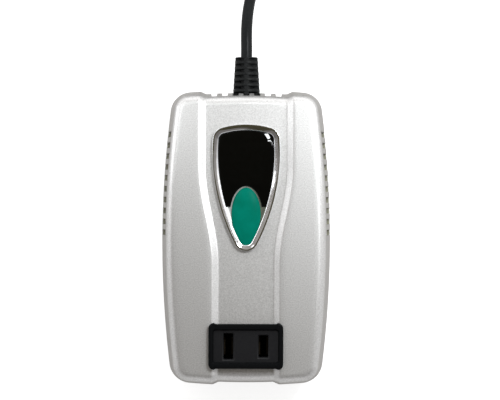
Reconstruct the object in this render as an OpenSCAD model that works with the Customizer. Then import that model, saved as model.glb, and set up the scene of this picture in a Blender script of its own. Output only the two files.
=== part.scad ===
// Travel voltage converter: a palm-sized step-down transformer in a two-part plastic case,
// with a flat-blade outlet on the front and a mains cord at one end.
// Millimetres. It lies on its feet: X across, Y towards the cord, Z up. Origin under the case's middle.

/* [Case] */
// Greatest width of the case, at the seam
case_w = 62.4; // [58:0.2:72]
// Length of the case at the seam
case_l = 109.8; // [105:0.2:125]
// Height of the closed case without its feet
case_h = 48.6; // [45:0.2:58]
// Height of the rear cover, from its back to the seam
rear_h = 23; // [19:0.5:27]
// Wall thickness of both covers
wall = 2.2; // [1.6:0.1:2.6]
// Lean of the side walls, in degrees
draft_angle = 5; // [3:0.5:6]
// Rounding of the front edge
edge_r = 3.2; // [2.4:0.1:3.6]
// Rounding of the back edge
back_edge_r = 2.6; // [2:0.1:3.2]
// Corner radius at the cord end
corner_r = 7.6; // [7.4:0.1:10]
// Corner radius at the outlet end
low_corner_r = 8.1; // [7.4:0.1:11]
// Radius of the bowed sides
side_bow_r = 380; // [240:10:600]
// Where along the length the sides are widest
side_bow_y = -1; // [-8:0.5:8]
// Radius of the crowned ends
end_bow_r = 250; // [180:10:500]

/* [Centre band] */
// Depth of the sunken band
band_depth = 1.1; // [0.6:0.1:1.4]
// Floor width of the band beside the badge
band_top_w = 29.8; // [28:0.2:33]
// Floor width of the band beside the outlet
band_low_w = 20.2; // [17:0.2:23]
// Width of the band's sloping walls
band_slope_w = 2.2; // [1.4:0.1:2.8]
// Where the band starts to narrow
band_turn_top = 26; // [22:0.5:30]
// Where the band has narrowed
band_turn_low = -9; // [-14:0.5:-4]

/* [Vents] */
// Spacing of the vent slots and of the bars at the cord end
vent_pitch = 4; // [3.8:0.1:4.5]
// Width of a side slot
vent_w = 2.1; // [1.4:0.1:2.5]
// Height of the slots above the seam
vent_h = 21; // [8:0.5:22]
// Number of slots in each side
side_vents = 10; // [6:1:11]
// Distance from the cord end of the case to the first side slot
side_vent_gap = 16.8; // [15:0.1:21]
// Number of bars at the cord end
end_bars = 8; // [6:2:8]
// Width of a bar
end_bar_w = 1.7; // [1.2:0.1:2.2]

/* [Badge] */
// Width of the shield
badge_w = 24.5; // [22:0.1:26]
// Height of the shield above its widest line
badge_rise = 10; // [8.5:0.1:12]
// Distance from the cord end of the case to the shield
badge_gap = 13.5; // [12:0.1:16]
// Height of the chrome rim over the band's floor
badge_h = 1.7; // [1.2:0.1:2.4]
// Width of the chrome rim
badge_rim_w = 2.1; // [1.6:0.1:2.4]
// Width of the oval
oval_w = 10.7; // [9:0.1:12]
// Height of the oval
oval_l = 21.2; // [18:0.1:22]

/* [Outlet] */
// Width of the outlet's frame
outlet_w = 27.1; // [26:0.1:30]
// Height of the outlet's frame
outlet_l = 16.9; // [15.6:0.1:19]
// Distance from the outlet end of the case to the outlet's frame
outlet_gap = 7.5; // [6.5:0.1:9]
// Height of the frame over the face
outlet_h = 2; // [1.5:0.1:3]
// Depth of the outlet inside the case
outlet_depth = 15; // [13:0.5:18]
// Spacing of the two slots
slot_pitch = 12.7; // [12.7:0.1:12.7]
// Width of a slot
slot_w = 3.4; // [2.4:0.1:3.6]
// Length of the long slot
slot_long = 9.4; // [8.5:0.1:9.6]
// Length of the short slot
slot_short = 8; // [6.8:0.1:8.4]

/* [Cord] */
// Diameter of the cord
cord_d = 4.2; // [3.6:0.1:4.6]
// Length of the strain relief outside the case
relief_l = 13.2; // [10:0.2:18]
// Diameter of the strain relief at the case
relief_base_d = 10; // [9:0.1:11]
// Diameter of the strain relief at its tip
relief_tip_d = 8.4; // [7:0.1:9]
// Number of grooves in the strain relief
relief_grooves = 7; // [4:1:7]
// Turns in each of the coil's two layers
coil_turns = 3; // [2:1:4]
// Middle diameter of the coil
coil_mean_d = 48; // [46:1:56]

/* [Plug] */
// Width of the plug
plug_w = 35.3; // [34:0.1:36]
// Thickness of the plug
plug_t = 13.7; // [12:0.1:15]
// Length of the plug's body
plug_l = 33; // [28:0.5:38]
// Spacing of the pins
pin_pitch = 18.6; // [17.5:0.1:19]
// Diameter of a pin
pin_d = 4; // [4:0.05:4.1]
// Length of a pin
pin_l = 19; // [19:0.1:19.5]

/* [Inside] */
// Length of the stack of laminations
stack_l = 36; // [28:1:38]
// Where the middle of the core is
core_y = 8; // [6:0.5:9]
// Thickness of the core's steel frame
frame_t = 0.8; // [0.6:0.1:1]
// Diameter of the case screws
screw_d = 3; // [2.6:0.1:3.2]
// Height of the rubber feet under the case
foot_h = 1.4; // [1:0.1:2]
// Diameter of the rubber feet
foot_d = 9; // [7:0.5:10]
// Diameter of the inner leads
lead_d = 1.8; // [1.4:0.1:2]

/* [Hidden] */
$fn = 64;

// Heights
z_seam = foot_h + rear_h;
z_top = foot_h + case_h;
z_floor = z_top - band_depth;
lean = tan(draft_angle);
fit = 0.1;

// Places along the case, counted from its ends
side_vent_y = case_l / 2 - side_vent_gap;
slot_top = min(z_seam + vent_h, z_floor - wall - 0.3);
badge_y = case_l / 2 - badge_gap - badge_rise;
outlet_y = outlet_gap + outlet_l / 2 - case_l / 2;

// Outline at the seam: a closed chain of touching arcs, each [centre, radius, start angle, end angle]
function meet(c1, r1, c2, r2, s) =
    let (d = norm(c2 - c1))
    let (a = (r1 * r1 - r2 * r2 + d * d) / (2 * d))
    let (u = (c2 - c1) / d)
    c1 + a * u + s * sqrt(r1 * r1 - a * a) * [-u.y, u.x];
function heading(from, to) = atan2(to.y - from.y, to.x - from.x);
function flip(p) = [-p.x, p.y];
function chain(side_c, side_r, top_c, top_r, low_c, low_r, hi_r, lo_r) =
    let (hi = meet(side_c, side_r - hi_r, top_c, top_r - hi_r, 1))
    let (lo = meet(side_c, side_r - lo_r, low_c, low_r - lo_r, -1))
    let (a1 = heading(side_c, hi))
    let (a2 = heading(top_c, hi))
    let (a3 = heading(low_c, lo))
    let (a4 = heading(side_c, lo))
    [
        [side_c, side_r, a4, a1],
        [hi, hi_r, a1, a2],
        [top_c, top_r, a2, 180 - a2],
        [flip(hi), hi_r, 180 - a2, 180 - a1],
        [flip(side_c), side_r, 180 - a1, 180 - a4],
        [flip(lo), lo_r, 180 - a4, 180 - a3],
        [low_c, low_r, 180 - a3, 360 + a3],
        [lo, lo_r, 360 + a3, 360 + a4]
    ];
CASE = chain(
    [case_w / 2 - side_bow_r, side_bow_y], side_bow_r,
    [0, case_l / 2 - end_bow_r], end_bow_r,
    [0, end_bow_r - case_l / 2], end_bow_r,
    corner_r, low_corner_r
);
// The inside of the walls follows the same arcs, shorter by the depth of the band at both ends
CAVITY = chain(
    [case_w / 2 - side_bow_r, side_bow_y], side_bow_r,
    [0, case_l / 2 - band_depth - end_bow_r], end_bow_r,
    [0, end_bow_r - case_l / 2 + band_depth], end_bow_r,
    corner_r, low_corner_r
);
arc_n = 6;
function chain_points(arcs, inset) = [
    for (a = arcs)
        for (i = [0 : arc_n - 1])
            let (t = a[2] + (a[3] - a[2]) * i / arc_n)
            a[0] + (a[1] - inset) * [cos(t), sin(t)]
];
function ring(points, z) = [for (p = points) [p.x, p.y, z]];

// A solid through a row of like outlines, from the lowest to the highest
module loft(rings) {
    n = len(rings[0]);
    m = len(rings);
    pts = [for (r = rings) for (p = r) p];
    faces = concat(
        [[for (k = [0 : n - 1]) k]],
        [[for (k = [n - 1 : -1 : 0]) (m - 1) * n + k]],
        [
            for (i = [0 : m - 2])
                for (k = [0 : n - 1])
                    let (a = i * n + k, b = i * n + (k + 1) % n)
                    [a, a + n, b + n, b]
        ]
    );
    polyhedron(pts, faces);
}

// The same through [inset, height] steps of a chain of arcs
module chain_loft(arcs, steps) {
    loft([for (v = steps) ring(chain_points(arcs, v[0]), v[1])]);
}

module plate(arcs, inset, z, h) {
    translate([0, 0, z])
        linear_extrude(h)
            polygon(chain_points(arcs, inset));
}

function rounded(w, l, r, n = 5) = [
    for (q = [0 : 3])
        for (i = [0 : n])
            let (t = 90 * (q + i / n))
            let (s = [[1, 1], [-1, 1], [-1, -1], [1, -1]][q])
            [s.x * (w / 2 - r) + r * cos(t), s.y * (l / 2 - r) + r * sin(t)]
];

module block(w, l, r, z, h) {
    translate([0, 0, z])
        linear_extrude(h)
            polygon(rounded(w, l, r));
}

// Steps of a rounded edge that turns from a wall at inset d into a face at height z
function edge_steps(d, z, r, up) = [
    for (i = [0 : arc_n])
        let (t = 90 * (up > 0 ? i : arc_n - i) / arc_n)
        [d + r * (1 - cos(t)), z - up * r * (1 - sin(t))]
];
function front_steps(s, z, r, low) = concat(
    [[s - (low - z_seam < 0 ? (z_seam - low) * lean : 0), low]],
    edge_steps(s + (z - r - z_seam) * lean, z, r, 1)
);
rear_lean = (rear_h - back_edge_r) * lean;
function rear_steps(s, z, r, high) = concat(
    edge_steps(s + (z_seam - z - r) * lean, z, r, -1),
    [[s - (high - z_seam) * lean, high]]
);

// Centre band: half its floor width along Y, easing from wide to narrow, flared where it leaves the ends
function ease(t) = let (c = max(0, min(1, t))) c * c * (3 - 2 * c);
function band_half(y) =
    let (t = ease((y - band_turn_low) / (band_turn_top - band_turn_low)))
    let (out = max(0, abs(y) - case_l / 2 + band_depth))
    band_low_w / 2 + t * (band_top_w - band_low_w) / 2 + out * band_slope_w / band_depth;
band_ys = concat(
    [-case_l / 2 - 2, -case_l / 2, -case_l / 2 + band_depth],
    [for (i = [0 : 16]) band_turn_low + (band_turn_top - band_turn_low) * i / 16],
    [case_l / 2 - band_depth, case_l / 2, case_l / 2 + 2]
);
module band_solid(levels) {
    n = len(band_ys);
    m = len(levels);
    w = 2 * n;
    pts = [
        for (v = levels)
            for (y = band_ys)
                for (s = [-1, 1])
                    [s * (band_half(y) + v[1]), y, v[0]]
    ];
    top = w * (m - 1);
    faces = concat(
        [for (i = [0 : 2 : w - 4]) [i, i + 1, i + 3, i + 2]],
        [for (i = [0 : 2 : w - 4]) [top + i, top + i + 2, top + i + 3, top + i + 1]],
        [for (j = [0 : m - 2]) for (a = [w * j : 2 : w * j + w - 4]) [a, a + 2, a + w + 2, a + w]],
        [for (j = [0 : m - 2]) for (a = [w * j + 1 : 2 : w * j + w - 3]) [a, a + w, a + w + 2, a + 2]],
        [for (a = [0 : w : top - w]) [a, a + w, a + w + 1, a + 1]],
        [for (a = [w - 2 : w : top - 2]) [a, a + 1, a + w + 1, a + w]]
    );
    polyhedron(pts, faces);
}

// Case screws stand in the middle of the corner arcs
screw_at = [CAVITY[1][0], CAVITY[3][0], CAVITY[5][0], CAVITY[7][0]];
boss_r = screw_d;
post_r = screw_d * 1.5;
head_r = screw_d * 0.95;
head_h = screw_d * 0.7;
tongue_h = 1.6;
screw_grip = 10;
screw_bite = 9;

// Rubber feet, set into the back
foot_seat = 0.6;
foot_side = 14;
foot_end = 20;
foot_at = [
    for (sx = [-1, 1])
        for (sy = [-1, 1])
            [sx * (case_w / 2 - foot_side), sy * (case_l / 2 - foot_end)]
];

// Core: laminations in units of a sixth of their width, as large as the case lets them be
seat_h = 0.8;
rib_t = 1.6;
cradle_l = 8;
cradle_h = 10;
core_u = min(
    (case_h - 2 * wall - band_depth - seat_h - frame_t - 1.5) / 5,
    (case_w - 2 * (wall + rear_lean + frame_t + rib_t + 0.5)) / 6
);
core_z = foot_h + wall + seat_h;
core_top = core_z + 5 * core_u;
bobbin_t = 1;
bobbin_gap = 0.15;
window_h = 3 * core_u;
tape_t = 0.4;
wind_t = (core_u - bobbin_gap - bobbin_t - tape_t - 0.8) / 2;
tube_w = 2 * (core_u + bobbin_gap + bobbin_t);
tube_l = stack_l + 2 * (bobbin_gap + bobbin_t);
tape_l = tube_l + 4 * wind_t + 2 * tape_t;
wind_h = window_h - 2 * (bobbin_gap + bobbin_t) - 0.2;
wind_z = core_z + core_u + bobbin_gap + bobbin_t + 0.1;

// Outlet
socket_w = outlet_w - 2.6;
socket_l = outlet_l - 2.6;
socket_z = z_top - outlet_depth;
back_t = 1.6;
face_drop = 1;
face_z = z_top + outlet_h - face_drop;
skin = 5;
cell_w = slot_w + 2;
lug_z = z_floor - wall - fit;

// Badge
badge_seat = 0.5;
badge_z = z_floor - badge_seat;
land_z = z_floor + badge_h - 0.9;
badge_pan = 0.6;
side_r = 72 * badge_w / 24.5;
tip_r = 4.5;
shoulder_r = 4.5;
crown_r = 32;
badge_side = [badge_w / 2 - side_r, badge_y];
badge_crown = [0, badge_y + badge_rise - crown_r];
tip_drop = sqrt(pow(side_r - tip_r, 2) - pow(badge_side.x, 2));
badge_tip = [0, badge_y - tip_drop];
shoulder = meet(badge_side, side_r - shoulder_r, badge_crown, crown_r - shoulder_r, 1);
shoulder_a = heading(badge_side, shoulder);
crown_a = heading(badge_crown, shoulder);
tip_a = heading(badge_side, badge_tip);
BADGE = [
    [badge_side, side_r, tip_a, shoulder_a],
    [shoulder, shoulder_r, shoulder_a, crown_a],
    [badge_crown, crown_r, crown_a, 180 - crown_a],
    [flip(shoulder), shoulder_r, 180 - crown_a, 180 - shoulder_a],
    [flip(badge_side), side_r, 180 - shoulder_a, 180 - tip_a],
    [badge_tip, tip_r, 180 - tip_a, 360 + tip_a]
];
oval_y = badge_tip.y - tip_r + 1.8 + oval_l * 0.53;
function oval(grow, k = 1) = [
    for (i = [0 : 47])
        let (t = 360 * i / 48)
        let (s = sin(t))
        let (b = s > 0 ? oval_l * 0.47 : oval_l * 0.53)
        [
            k * (oval_w / 2 + grow) * cos(t) * (s > 0 ? 1 : 1 + 0.12 * s),
            oval_y + k * (b + grow) * s
        ]
];
plate_low_y = badge_y - 19.9 * badge_w / 24.5;

// Strain relief, on the seam
wall_y = case_l / 2 - band_depth;
neck_r = 3.5;
relief_seat = 1.2;
tip_y = wall_y + relief_l;
flange_r = neck_r + 1.4;
flange_in = wall + flange_r * lean + 2 * fit;
flange_t = 2;
relief_in_y = wall_y - flange_in - flange_t;

// Slots between the bars at the cord end; those in line with the strain relief stop at the seam
end_cut = 8;
end_slot_w = vent_pitch - end_bar_w;
end_slot_x = [for (i = [0 : end_bars - 2]) (i - (end_bars - 2) / 2) * vent_pitch];
function over_relief(x) = abs(x) - end_slot_w / 2 < relief_base_d / 2;

// Cord: one path from the relief's tip down to the surface, round the coil and on to the plug
tie_t = 0.6;
cord_gap = 0.6;
coil_pitch = cord_d + cord_gap;
coil_c = [-4, case_l / 2 + 85.5];
coil_a = -40;
coil_r = coil_mean_d / 2 + coil_pitch * coil_turns / 2;
layer_z = [cord_d / 2 + tie_t + 0.15, cord_d * 1.5 + tie_t + 0.15 + cord_gap];
coil_end = 2 * coil_turns + 70 / 360;
function coil_rad(t) = coil_r - coil_pitch * (t < coil_turns ? t : 2 * coil_turns - t);
function coil_at(t) =
    let (a = coil_a + 360 * t)
    let (k = ease((t - coil_turns) * 2 + 0.5))
    [
        coil_c.x + coil_rad(t) * cos(a),
        coil_c.y + coil_rad(t) * sin(a),
        layer_z[0] + k * (layer_z[1] - layer_z[0])
    ];
function unit(v) = v / norm(v);
function coil_dir(t) = unit(coil_at(t + 0.002) - coil_at(t - 0.002));
dir_in = coil_dir(0);
dir_out = coil_dir(coil_end);
coil_in = coil_at(0) - cord_d * dir_in;
coil_out = coil_at(coil_end) + cord_d * dir_out;
coil_path = concat(
    [coil_in],
    [for (i = [0 : 24 * 2 * coil_turns]) coil_at(i / 24)],
    [for (i = [1 : 4]) coil_at(2 * coil_turns + (coil_end - 2 * coil_turns) * i / 4)],
    [coil_out]
);
function bezier(p, n) = [
    for (i = [0 : n])
        let (t = i / n)
        let (u = 1 - t)
        u * u * u * p[0] + 3 * u * u * t * p[1] + 3 * u * t * t * p[2] + t * t * t * p[3]
];
lead_in = coil_in - cord_d * dir_in;
lead_path = concat(
    [[0, tip_y, z_seam]],
    bezier([
        [0, tip_y + cord_d, z_seam],
        [-0.5, tip_y + 24, z_seam],
        lead_in - 18 * dir_in,
        lead_in
    ], 12),
    [coil_in]
);
plug_x = 18;
plug_y = coil_out.y + 24;
plug_z = plug_t / 2;
tail_out = coil_out + cord_d * dir_out;
tail_path = concat(
    [coil_out],
    bezier([
        tail_out,
        tail_out + 6 * dir_out,
        [plug_x, plug_y - cord_d - 7, plug_z],
        [plug_x, plug_y - cord_d, plug_z]
    ], 6),
    [[plug_x, plug_y, plug_z]]
);

// Least space between two turns that pass each other in the coil
coil_least = min([
    for (i = [1 : len(coil_path) - 14])
        for (j = [i + 12 : len(coil_path) - 2])
            norm(coil_path[i] - coil_path[j])
]) - cord_d;
function path_length(p, i = 1) = i == len(p) ? 0 : norm(p[i] - p[i - 1]) + path_length(p, i + 1);
echo(coil_least_gap = coil_least);
echo(cord_length = path_length(lead_path) + path_length(coil_path) + path_length(tail_path));

// A round tube along a path; up is a direction that the path never takes
function going(p, i) =
    i == 0 ? unit(p[1] - p[0])
    : i == len(p) - 1 ? unit(p[i] - p[i - 1])
    : unit(unit(p[i + 1] - p[i]) + unit(p[i] - p[i - 1]));
module tube(path, r, n, up = [0, 0, 1]) {
    m = len(path);
    pts = [
        for (i = [0 : m - 1])
            let (t = going(path, i))
            let (s = unit(cross(t, up)))
            let (u = cross(s, t))
            for (k = [0 : n - 1])
                path[i] + r * (cos(360 * k / n) * s + sin(360 * k / n) * u)
    ];
    faces = concat(
        [[for (k = [0 : n - 1]) k]],
        [[for (k = [n - 1 : -1 : 0]) (m - 1) * n + k]],
        [
            for (i = [0 : m - 2])
                for (k = [0 : n - 1])
                    let (a = i * n + k, b = i * n + (k + 1) % n)
                    each [[a, a + n, b + n], [a, b + n, b]]
        ]
    );
    polyhedron(pts, faces);
}

silver = [0.76, 0.76, 0.75];
black = [0.08, 0.08, 0.09];
chrome = [0.85, 0.86, 0.88];
steel = [0.55, 0.56, 0.58];
brass = [0.8, 0.65, 0.3];
copper = [0.72, 0.42, 0.2];

// Cuts through the cord end that both covers share

module end_slot(x, low, high) {
    translate([x - end_slot_w / 2, case_l / 2 - end_cut, low])
        cube([end_slot_w, 2 * end_cut, high - low]);
}

module neck_hole() {
    translate([0, 0, z_seam])
        rotate([-90, 0, 0]) {
            translate([0, 0, case_l / 2 - 1.5 * end_cut])
                cylinder(r = neck_r + fit, h = 2 * end_cut);
            translate([0, 0, wall_y - relief_seat - fit])
                cylinder(r = relief_base_d / 2 + fit, h = end_cut);
        }
}

// Front cover

module front_shell() {
    in_r = max(0.4, edge_r - wall);
    difference() {
        chain_loft(CASE, front_steps(0, z_top, edge_r, z_seam));
        difference() {
            band_solid([[z_seam - 1, 0], [z_floor, 0], [z_top + band_depth, 2 * band_slope_w]]);
            chain_loft(CASE, front_steps(band_depth, z_floor, edge_r, z_seam - 2));
        }
        chain_loft(CAVITY, front_steps(wall, z_floor - wall, in_r, z_seam - 1));
    }
}

module side_slots() {
    for (i = [0 : side_vents - 1])
        translate([-case_w, side_vent_y - i * vent_pitch - vent_w / 2, z_seam - 1])
            cube([2 * case_w, vent_w, slot_top - z_seam + 1]);
}

module front_cover() {
    color(silver)
        difference() {
            union() {
                difference() {
                    front_shell();
                    side_slots();
                    for (x = end_slot_x)
                        end_slot(x, z_seam - 1, slot_top);
                }
                for (p = screw_at)
                    translate([p.x, p.y, z_seam])
                        cylinder(r = boss_r, h = z_top - wall - z_seam + 0.6);
                for (s = [-1, 1])
                    translate([s * 2.5 * core_u - 1, core_y - stack_l / 4, core_top + frame_t + fit])
                        cube([2, stack_l / 2, z_top - wall - core_top - frame_t - fit + 0.6]);
            }
            for (p = screw_at)
                translate([p.x, p.y, z_seam - 1])
                    cylinder(d = screw_d + 2 * fit, h = screw_bite + 3);
            translate([0, outlet_y, 0])
                block(socket_w + 2 * fit, socket_l + 2 * fit, 0.8 + fit, z_seam, case_h);
            plate(BADGE, -fit, badge_z, badge_seat + 2 * band_depth);
            neck_hole();
        }
}

// Rear cover

module rear_shell() {
    in_r = max(0.4, back_edge_r - wall);
    difference() {
        chain_loft(CASE, rear_steps(0, foot_h, back_edge_r, z_seam));
        difference() {
            band_solid([[foot_h - 1, 0], [z_seam + 1, 0]]);
            chain_loft(CASE, concat(
                [[band_depth + rear_lean + back_edge_r, foot_h - 2]],
                rear_steps(band_depth, foot_h, back_edge_r, z_seam + 2)
            ));
        }
        chain_loft(CAVITY, rear_steps(wall, foot_h + wall, in_r, z_seam + 1));
    }
}

// The tongue on the rear cover that stands inside the front cover
module tongue() {
    difference() {
        chain_loft(CAVITY, [
            [wall - 0.4, z_seam - 4],
            [wall + 0.15, z_seam - 0.3],
            [wall + 0.3, z_seam + tongue_h]
        ]);
        chain_loft(CAVITY, [[wall + 1.3, z_seam - 5], [wall + 1.3, z_seam + tongue_h + 1]]);
        translate([0, wall_y - wall - fit, z_seam])
            rotate([90, 0, 0])
                cylinder(r = flange_r + 2 * fit, h = 8);
    }
}

// A corner of the core's cradle: two upright ribs and the pad that the core stands on
module core_corner() {
    translate([3 * core_u + frame_t + 2 * fit, stack_l / 2 + 2 * fit, foot_h + wall / 2]) {
        translate([0, -cradle_l, 0])
            cube([rib_t, cradle_l + rib_t, wall / 2 + seat_h + cradle_h]);
        translate([1 - core_u, 0, 0])
            cube([core_u - 1 + rib_t, rib_t, wall / 2 + seat_h + cradle_h]);
        translate([1 - core_u, -cradle_l, 0])
            cube([core_u - 1, cradle_l + rib_t / 2, wall / 2 + seat_h]);
    }
}

module rear_cover() {
    color(silver)
        difference() {
            union() {
                rear_shell();
                tongue();
                for (p = screw_at)
                    translate([p.x, p.y, foot_h + 0.4])
                        cylinder(r = post_r, h = rear_h - 0.4);
                translate([0, core_y, 0])
                    for (sx = [0, 1])
                        for (sy = [0, 1])
                            mirror([sx, 0, 0])
                                mirror([0, sy, 0])
                                    core_corner();
            }
            for (p = screw_at)
                translate([p.x, p.y, foot_h - 1]) {
                    cylinder(d = screw_d + 4 * fit, h = rear_h + 4);
                    cylinder(r = head_r + 2 * fit, h = rear_h - screw_grip + 1);
                }
            for (p = foot_at)
                translate([p.x, p.y, foot_h - 1])
                    cylinder(d = foot_d + 2 * fit, h = 1 + foot_seat);
            neck_hole();
            for (x = end_slot_x)
                if (!over_relief(x))
                    end_slot(x, z_seam - vent_h / 2, z_seam + tongue_h + 1);
        }
}

module case_screws() {
    color(steel)
        for (p = screw_at)
            translate([p.x, p.y, z_seam - screw_grip - head_h])
                difference() {
                    union() {
                        cylinder(r = head_r, h = head_h);
                        cylinder(d = screw_d, h = head_h + screw_grip + screw_bite);
                    }
                    for (a = [0, 90])
                        rotate([0, 0, a])
                            translate([-head_r * 0.6, -0.35, -1])
                                cube([head_r * 1.2, 0.7, 2]);
                }
}

module feet() {
    color(black)
        for (p = foot_at)
            translate([p.x, p.y, 0])
                rotate_extrude()
                    polygon([
                        [0, 0], [foot_d / 2 - 0.5, 0], [foot_d / 2, 0.5],
                        [foot_d / 2, foot_h + foot_seat], [0, foot_h + foot_seat]
                    ]);
}

// Badge

module plate_shape(grow) {
    difference() {
        polygon(chain_points(BADGE, badge_rim_w - grow));
        polygon(oval(0.55 - grow));
        translate([-badge_w, plate_low_y - 3 * badge_w - grow])
            square([2 * badge_w, 3 * badge_w]);
    }
}

module badge_frame() {
    top = z_floor + badge_h;
    r = 0.45 * badge_rim_w;
    color(chrome)
        difference() {
            chain_loft(BADGE, concat([[0, badge_z]], edge_steps(0, top, r, 1)));
            chain_loft(BADGE, concat(
                [[badge_rim_w, land_z]],
                [for (i = [0 : arc_n]) let (t = 90 * i / arc_n)
                    [badge_rim_w - r * (1 - cos(t)), top - r * (1 - sin(t))]],
                [[badge_rim_w - r, top + 1]]
            ));
            translate([0, 0, badge_z + badge_pan])
                linear_extrude(4)
                    plate_shape(fit / 2);
            translate([0, 0, badge_z + badge_pan])
                linear_extrude(4)
                    polygon(oval(fit / 2));
        }
}

module badge_plate() {
    color(black)
        translate([0, 0, badge_z + badge_pan])
            linear_extrude(land_z - badge_z - badge_pan + 0.15)
                plate_shape(0);
}

module badge_oval() {
    base = badge_z + badge_pan;
    rise = 1.3;
    color([0.02, 0.5, 0.42])
        loft(concat(
            [[for (p = oval(0)) [p.x, p.y, base]]],
            [for (i = [0 : 6]) let (t = 78 * i / 6)
                [for (p = oval(0, cos(t))) [p.x, p.y, land_z + rise * sin(t)]]]
        ));
}

// Outlet

module slot_cut(x, l) {
    translate([x - slot_w / 2, outlet_y - l / 2, socket_z])
        cube([slot_w, l, outlet_depth + outlet_h]);
    lip = 0.5;
    loft([
        for (k = [0, 1])
            [for (s = [[1, 1], [-1, 1], [-1, -1], [1, -1]])
                [
                    x + s.x * (slot_w / 2 + (2 * k) * lip),
                    outlet_y + s.y * (l / 2 + (2 * k) * lip),
                    face_z + (k == 0 ? -lip : lip)
                ]]
    ]);
}

module socket_body() {
    color(black)
        difference() {
            union() {
                translate([0, outlet_y, 0]) {
                    loft(concat(
                        [ring(rounded(outlet_w, outlet_l, 2), z_top)],
                        [
                            for (k = [0 : 4])
                                let (t = 22.5 * k, d = 1 - cos(t))
                                let (z = z_top + outlet_h - 0.5 + 0.5 * sin(t))
                                ring(rounded(outlet_w - d, outlet_l - d, 2), z)
                        ]
                    ));
                    block(band_low_w - 0.4, outlet_l - 1, 0.6, z_floor, band_depth + 0.2);
                    block(socket_w, socket_l, 0.8, socket_z, outlet_depth + 0.4);
                    for (s = [-1, 1])
                        translate([s * socket_w / 2, 3, lug_z])
                            rotate([90, 0, 0])
                                linear_extrude(6)
                                    polygon([[-s * 0.6, 0], [s * 0.8, 0], [-s * 0.6, -4]]);
                }
            }
            translate([0, outlet_y, 0])
                loft([
                    for (k = [0, 2])
                        let (w = outlet_w - 3.7 + 0.8 * k, l = outlet_l - 5.4 + 0.8 * k)
                        ring(rounded(w, l, 0.9), face_z + k * face_drop)
                ]);
            slot_cut(-slot_pitch / 2, slot_long);
            slot_cut(slot_pitch / 2, slot_short);
            for (s = [-1, 1])
                translate([s * slot_pitch / 2 - cell_w / 2, outlet_y - slot_long / 2 - 0.4, socket_z - 1])
                    cube([cell_w, slot_long + 0.8, face_z - skin - socket_z + 1]);
        }
}

module socket_back() {
    color([0.14, 0.14, 0.15])
        difference() {
            translate([0, outlet_y, 0])
                block(socket_w, socket_l, 0.8, socket_z - back_t, back_t);
            for (s = [-1, 1])
                translate([s * slot_pitch / 2 - 0.5, outlet_y - 2.1, socket_z - back_t - 1])
                    cube([1, 4.2, back_t + 2]);
        }
}

leaf_t = 0.6;
tail_z = socket_z - back_t - 5;
module contact(s) {
    leaf_h = face_z - skin - socket_z - 0.6;
    color(brass)
        translate([s * slot_pitch / 2, outlet_y, 0]) {
            for (k = [-1, 1])
                translate([k * (slot_w / 2 - leaf_t / 2) - leaf_t / 2, -3.2, socket_z])
                    cube([leaf_t, 6.4, leaf_h]);
            translate([-slot_w / 2, -3.2, socket_z])
                cube([slot_w, 6.4, leaf_t]);
            translate([-0.4, -2, tail_z])
                cube([0.8, 4, socket_z - tail_z + 0.2]);
        }
}

module contact_neutral() {
    contact(-1);
}

module contact_line() {
    contact(1);
}

// Strain relief and cord

module strain_relief() {
    groove = 1;
    first = 0.4 - relief_seat;
    tip_t = 0.4;
    step = (relief_l - tip_t - groove - first) / (relief_grooves - 1);
    color([0.1, 0.1, 0.11])
        translate([0, wall_y, z_seam])
            rotate([-90, 0, 0])
                difference() {
                    rotate_extrude()
                        polygon([
                            [0, -flange_in - flange_t], [flange_r, -flange_in - flange_t],
                            [flange_r, -flange_in], [neck_r, -flange_in],
                            [neck_r, -relief_seat], [relief_base_d / 2, -relief_seat],
                            [relief_base_d / 2, 0], [relief_tip_d / 2, relief_l - 0.2],
                            [relief_tip_d / 2 - 0.2, relief_l], [0, relief_l]
                        ]);
                    for (i = [0 : relief_grooves - 1])
                        translate([0, 0, first + i * step])
                            difference() {
                                cylinder(r = relief_base_d, h = groove);
                                translate([0, 0, -1])
                                    cylinder(r = cord_d / 2 + 0.3, h = groove + 2);
                                for (a = [0, 90])
                                    rotate([0, 0, a])
                                        translate([-0.95, -relief_base_d, -1])
                                            cube([1.9, 2 * relief_base_d, groove + 2]);
                            }
                }
}

module cord_lead() {
    color(black)
        tube(lead_path, cord_d / 2, 12);
}

module cord_coil() {
    color(black)
        tube(coil_path, cord_d / 2, 6);
}

module cord_tail() {
    color(black)
        tube(tail_path, cord_d / 2, 12);
}

module cord_tie() {
    mid_r = coil_r - coil_pitch * coil_turns / 2;
    w = coil_pitch * (coil_turns - 1) + cord_d + 0.8;
    h = layer_z[1] - layer_z[0] + cord_d + 0.2;
    color([0.15, 0.15, 0.16])
        translate([coil_c.x, coil_c.y, (layer_z[0] + layer_z[1]) / 2])
            rotate([0, 0, coil_a + 180])
                translate([mid_r, 2.5, 0])
                    rotate([90, 0, 0])
                        difference() {
                            block(w + 2 * tie_t, h + 2 * tie_t, 1.6, 0, 5);
                            block(w, h, 1, -1, 7);
                        }
}

// Plug

module plug_body() {
    levels = [
        [0, 8, 8], [1.5, 9, 8.6], [7, 9.6, 9], [10, 14, 10.4], [14, 22, 12], [18, 29, 13.2],
        [23, 34, 13.7], [27, 35.3, 13.7], [32.2, 35.3, 13.7], [33, 34.1, 12.5]
    ];
    color(black)
        loft([
            for (v = levels)
                let (w = v[1] * plug_w / 35.3, t = v[2] * plug_t / 13.7)
                let (y = plug_y + v[0] * plug_l / 33)
                [for (p = rounded(w, t, 0.47 * t, 6)) [plug_x - p.x, y, plug_z + p.y]]
        ]);
}

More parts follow.
